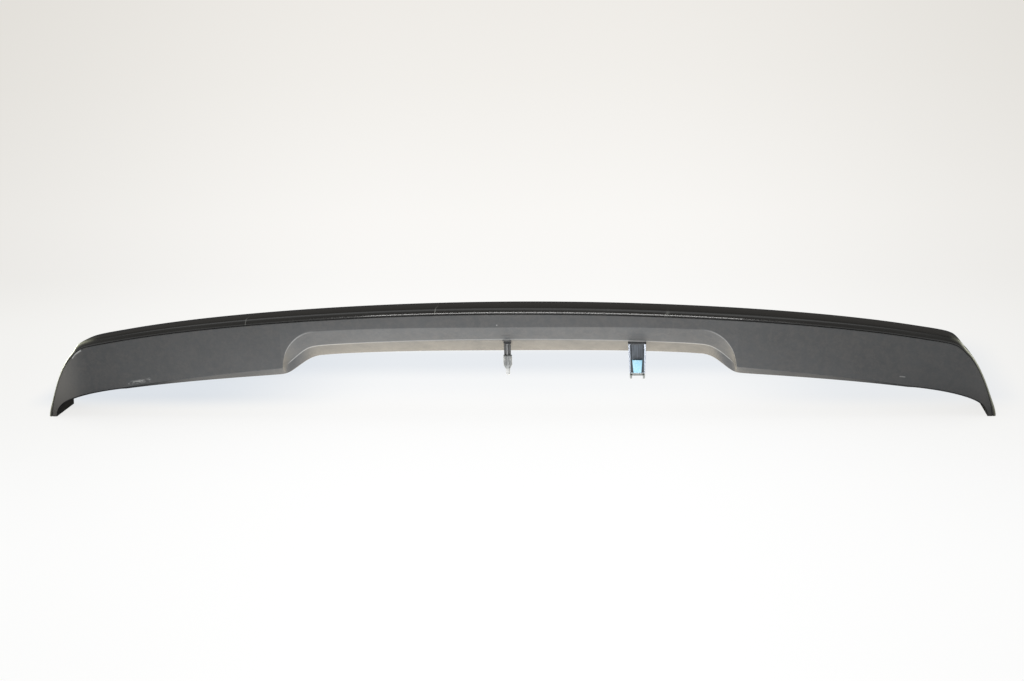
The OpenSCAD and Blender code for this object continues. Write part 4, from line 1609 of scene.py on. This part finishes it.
@dataclass(frozen=True)
class Studio:
    """Floor, backdrop, lamps and camera."""

    camera_m: Point3 = (0.2075, -1.96934, 0.5141)
    yaw_deg: float = -5.946
    pitch_deg: float = 12.324
    roll_deg: float = -1.533
    lens_mm: float = 65.086
    lamps: tuple[Lamp, ...] = (
        Lamp("overhead_box", (-0.2, -0.3, 2.2), (-0.05, 0, 0), (3.0, 2.0), 14.0, (0.98, 0.99, 1.0)),
        Lamp("front_box", (-0.07, -2.2, 0.30), (-0.02, 0, 0.10), (1.3, 0.14), 12.0, (1.0, 0.99, 0.97)),
        Lamp("left_box", (-2.3, 1.1, 0.4), (-0.5, 0, 0.05), (1.7, 0.9), 34.0, (1.0, 1.02, 0.84)),
        Lamp("right_box", (2.2, 1.6, 0.5), (0.5, 0, 0.05), (1.6, 1.0), 10.0, (1.0, 1.02, 0.84)))
    # Place of the eye over the floor in millimetres, the nearest row that is graded and its slope below the horizon.
    eye: Point3 = (207.5, -1969, 514)
    near_y: float = -900
    near_slope: float = 0.30
    side_shift: float = 0.104
    floor_half_m: float = 40.0
    # Tones of the floor from the horizon to the foreground.
    floor_stops: tuple[tuple[float, Color], ...] = (
        (0.0, (0.842, 0.817, 0.777)), (0.25, (0.886, 0.866, 0.831)), (0.5, (0.95, 0.936, 0.912)),
        (0.75, (0.961, 0.957, 0.947)), (1.0, (0.985, 0.985, 0.982)))
    side_shade: Color = (0.45, 0.43, 0.38)
    cool_shade: Color = (0.60, 0.655, 0.73)
    lit_tone: Color = (0.13, 0.13, 0.13)
    bounce_tones: tuple[Color, Color] = ((0.97, 0.985, 1.0), (1.22, 1.1, 0.9))
    backdrop: Color = (0.80, 0.785, 0.76)
    gloss_tones: tuple[Color, Color] = ((0.05, 0.048, 0.045), (0.75, 0.77, 0.75))
    room_tones: tuple[Color, Color] = ((0.42, 0.43, 0.45), (0.75, 0.76, 0.78))

    def floor_tone(self, s: Shader, x: Value, y: Value) -> Value:
        """Colour of the floor for the camera: graded into the distance and darker towards the sides, with painted
        soft shadows round the part.

        Args:
            s: Shader of the material.
            x: Coordinate across, in millimetres.
            y: Coordinate forward.

        Returns:
            The colour.
        """
        away = y.top(self.near_y) - self.eye[1]
        far = self.eye[2] / away
        tone = s.node("ShaderNodeValToRGB", {"stops": self.floor_stops}, {"Fac": far / self.near_slope})
        spread = abs((x - self.eye[0]) / away + self.side_shift)
        tone = s.blend(spread.ramp(0.05, 0.36) * far.ramp(0.19, 0.36, 0.27, 0.08), tone, self.side_shade)
        # Painted shadows of the part: bluish under both wings, and a band behind it.
        wing_shadow = x.ramp(-580, -520) * x.ramp(-150, -400) + x.ramp(200, 400) * x.ramp(580, 520) * 0.5
        wing_shadow = wing_shadow * y.ramp(5, 85) * y.ramp(420, 260) * 0.7
        behind = (y.ramp(20, 150, 0.0, 0.2) + y.ramp(150, 240, 0.0, 0.37)) * y.ramp(345, 290) * abs(x).ramp(540, 500)
        return s.blend(wing_shadow + behind * (1.0 - wing_shadow), tone, self.cool_shade)

    def floor_bounce(self, s: Shader, x: Value, y: Value) -> Value:
        """Light that the floor sends back to the part, strongest under the recess and the wings.

        Args:
            s: Shader of the material.
            x: Coordinate across, in millimetres.
            y: Coordinate forward.

        Returns:
            The emission.
        """
        across = abs(x + 40).ramp(130, 540, 1.36, 0.56)
        under = y.ramp(-420, -40, 1.4, 1.9) + y.ramp(-30, 30, 0.0, 0.2)
        inside = abs(x).ramp(190, 300, 1.0, 0.5) * abs(x).ramp(350, 430, 1.0, 0.1)
        cover = y.ramp(-110, -20) * (1.0 - inside)
        strength = under * y.ramp(420, 200) * across * (1.0 - cover) + 0.04
        tint = s.blend(y.ramp(-20, 20) * y.ramp(200, 90), *self.bounce_tones)
        return s.node("ShaderNodeEmission", {}, {"Color": tint, "Strength": strength})

    def floor(self) -> None:
        """Large pale floor that keeps the part's shadow."""
        material, s = new_shader("pale_floor")
        x, y, _ = s.axes()
        tone = self.floor_tone(s, x, y)
        lit = s.node("ShaderNodeBsdfDiffuse", {}, {"Color": self.lit_tone})
        glow = s.node("ShaderNodeEmission", {}, {"Color": tone, "Strength": 0.9})
        near = s.node("ShaderNodeAddShader", {}, {0: lit, 1: glow})
        plain = s.node("ShaderNodeEmission", {}, {"Color": tone, "Strength": 1.0})
        seen = s.node("ShaderNodeMixShader", {}, {0: y.ramp(350, 900), 1: near, 2: plain})
        is_camera = s.node("ShaderNodeLightPath", out="Is Camera Ray")
        s.finish(s.node("ShaderNodeMixShader", {}, {0: is_camera, 1: self.floor_bounce(s, x, y), 2: seen}))
        bm = bmesh.new()
        bmesh.ops.create_grid(bm, x_segments=1, y_segments=1, size=self.floor_half_m)
        as_object("floor", bm, material)

    def world(self) -> None:
        """Pale backdrop for the camera, and a soft room for the light."""
        world = bpy.data.worlds.new("studio")
        bpy.context.scene.world = world
        s = Shader(world)
        dx, dy, dz = s.parts(s.node("ShaderNodeTexCoord", out="Generated"))
        above = dz.ramp(0.35, 0.9)
        bright = abs(dx).ramp(0.62, 0.9) * 0.8 + dy.ramp(0.1, -0.5) * 0.35 + above * 0.2
        gloss = s.blend(bright.low(1.0), *self.gloss_tones)
        soft = s.blend(above, *self.room_tones)
        room = s.blend(s.node("ShaderNodeLightPath", out="Is Glossy Ray"), soft, gloss)
        color = s.blend(s.node("ShaderNodeLightPath", out="Is Camera Ray"), room, self.backdrop)
        s.finish(s.node("ShaderNodeBackground", {}, {"Color": color, "Strength": 1.0}), "ShaderNodeOutputWorld")

    @staticmethod
    def hang(lamp: Lamp) -> None:
        """Adds one soft box.

        Args:
            lamp: The lamp.
        """
        data = bpy.data.lights.new(lamp.name, "AREA")
        data.shape, data.size, data.size_y = "RECTANGLE", *lamp.size
        data.energy, data.color = lamp.power, lamp.color
        obj = bpy.data.objects.new(lamp.name, data)
        obj.location = lamp.at
        obj.rotation_euler = (Vector(lamp.towards) - Vector(lamp.at)).to_track_quat("-Z", "Y").to_euler()
        link(obj)

    def camera(self) -> None:
        """Camera at the photograph's angle."""
        yaw, pitch = math.radians(self.yaw_deg), math.radians(self.pitch_deg)
        ahead = Vector((math.sin(yaw) * math.cos(pitch), math.cos(yaw) * math.cos(pitch), -math.sin(pitch)))
        right = Vector((math.cos(yaw), -math.sin(yaw), 0))
        up = right.cross(ahead)
        turn = Matrix.Rotation(math.radians(-self.roll_deg), 3, ahead)
        right, up = turn @ right, turn @ up
        matrix = Matrix((right, up, -ahead)).transposed().to_4x4()
        matrix.translation = Vector(self.camera_m)
        data = bpy.data.cameras.new("camera")
        data.lens, data.sensor_width, data.sensor_fit = self.lens_mm, 36.0, "HORIZONTAL"
        data.clip_start, data.clip_end = 0.05, 200.0
        obj = bpy.data.objects.new("camera", data)
        obj.matrix_world = matrix
        link(obj)
        bpy.context.scene.camera = obj

    def build(self) -> None:
        """Sets up the whole studio."""
        self.floor()
        self.world()
        for lamp in self.lamps:
            self.hang(lamp)
        self.camera()
        view = bpy.context.scene.view_settings
        view.view_transform = "Standard"


def main() -> None:
    """Builds the part and the studio in order."""
    logging.basicConfig(level=logging.INFO, format="%(name)s %(message)s")
    shop = Workshop()
    for assembly in (GlossSkin(), GrainedCover(), LocatingPin(), SpringClip(), Inserts(), FrontSeal()):
        assembly.build(shop)
    Studio().build()


if __name__ == "__main__":
    main()
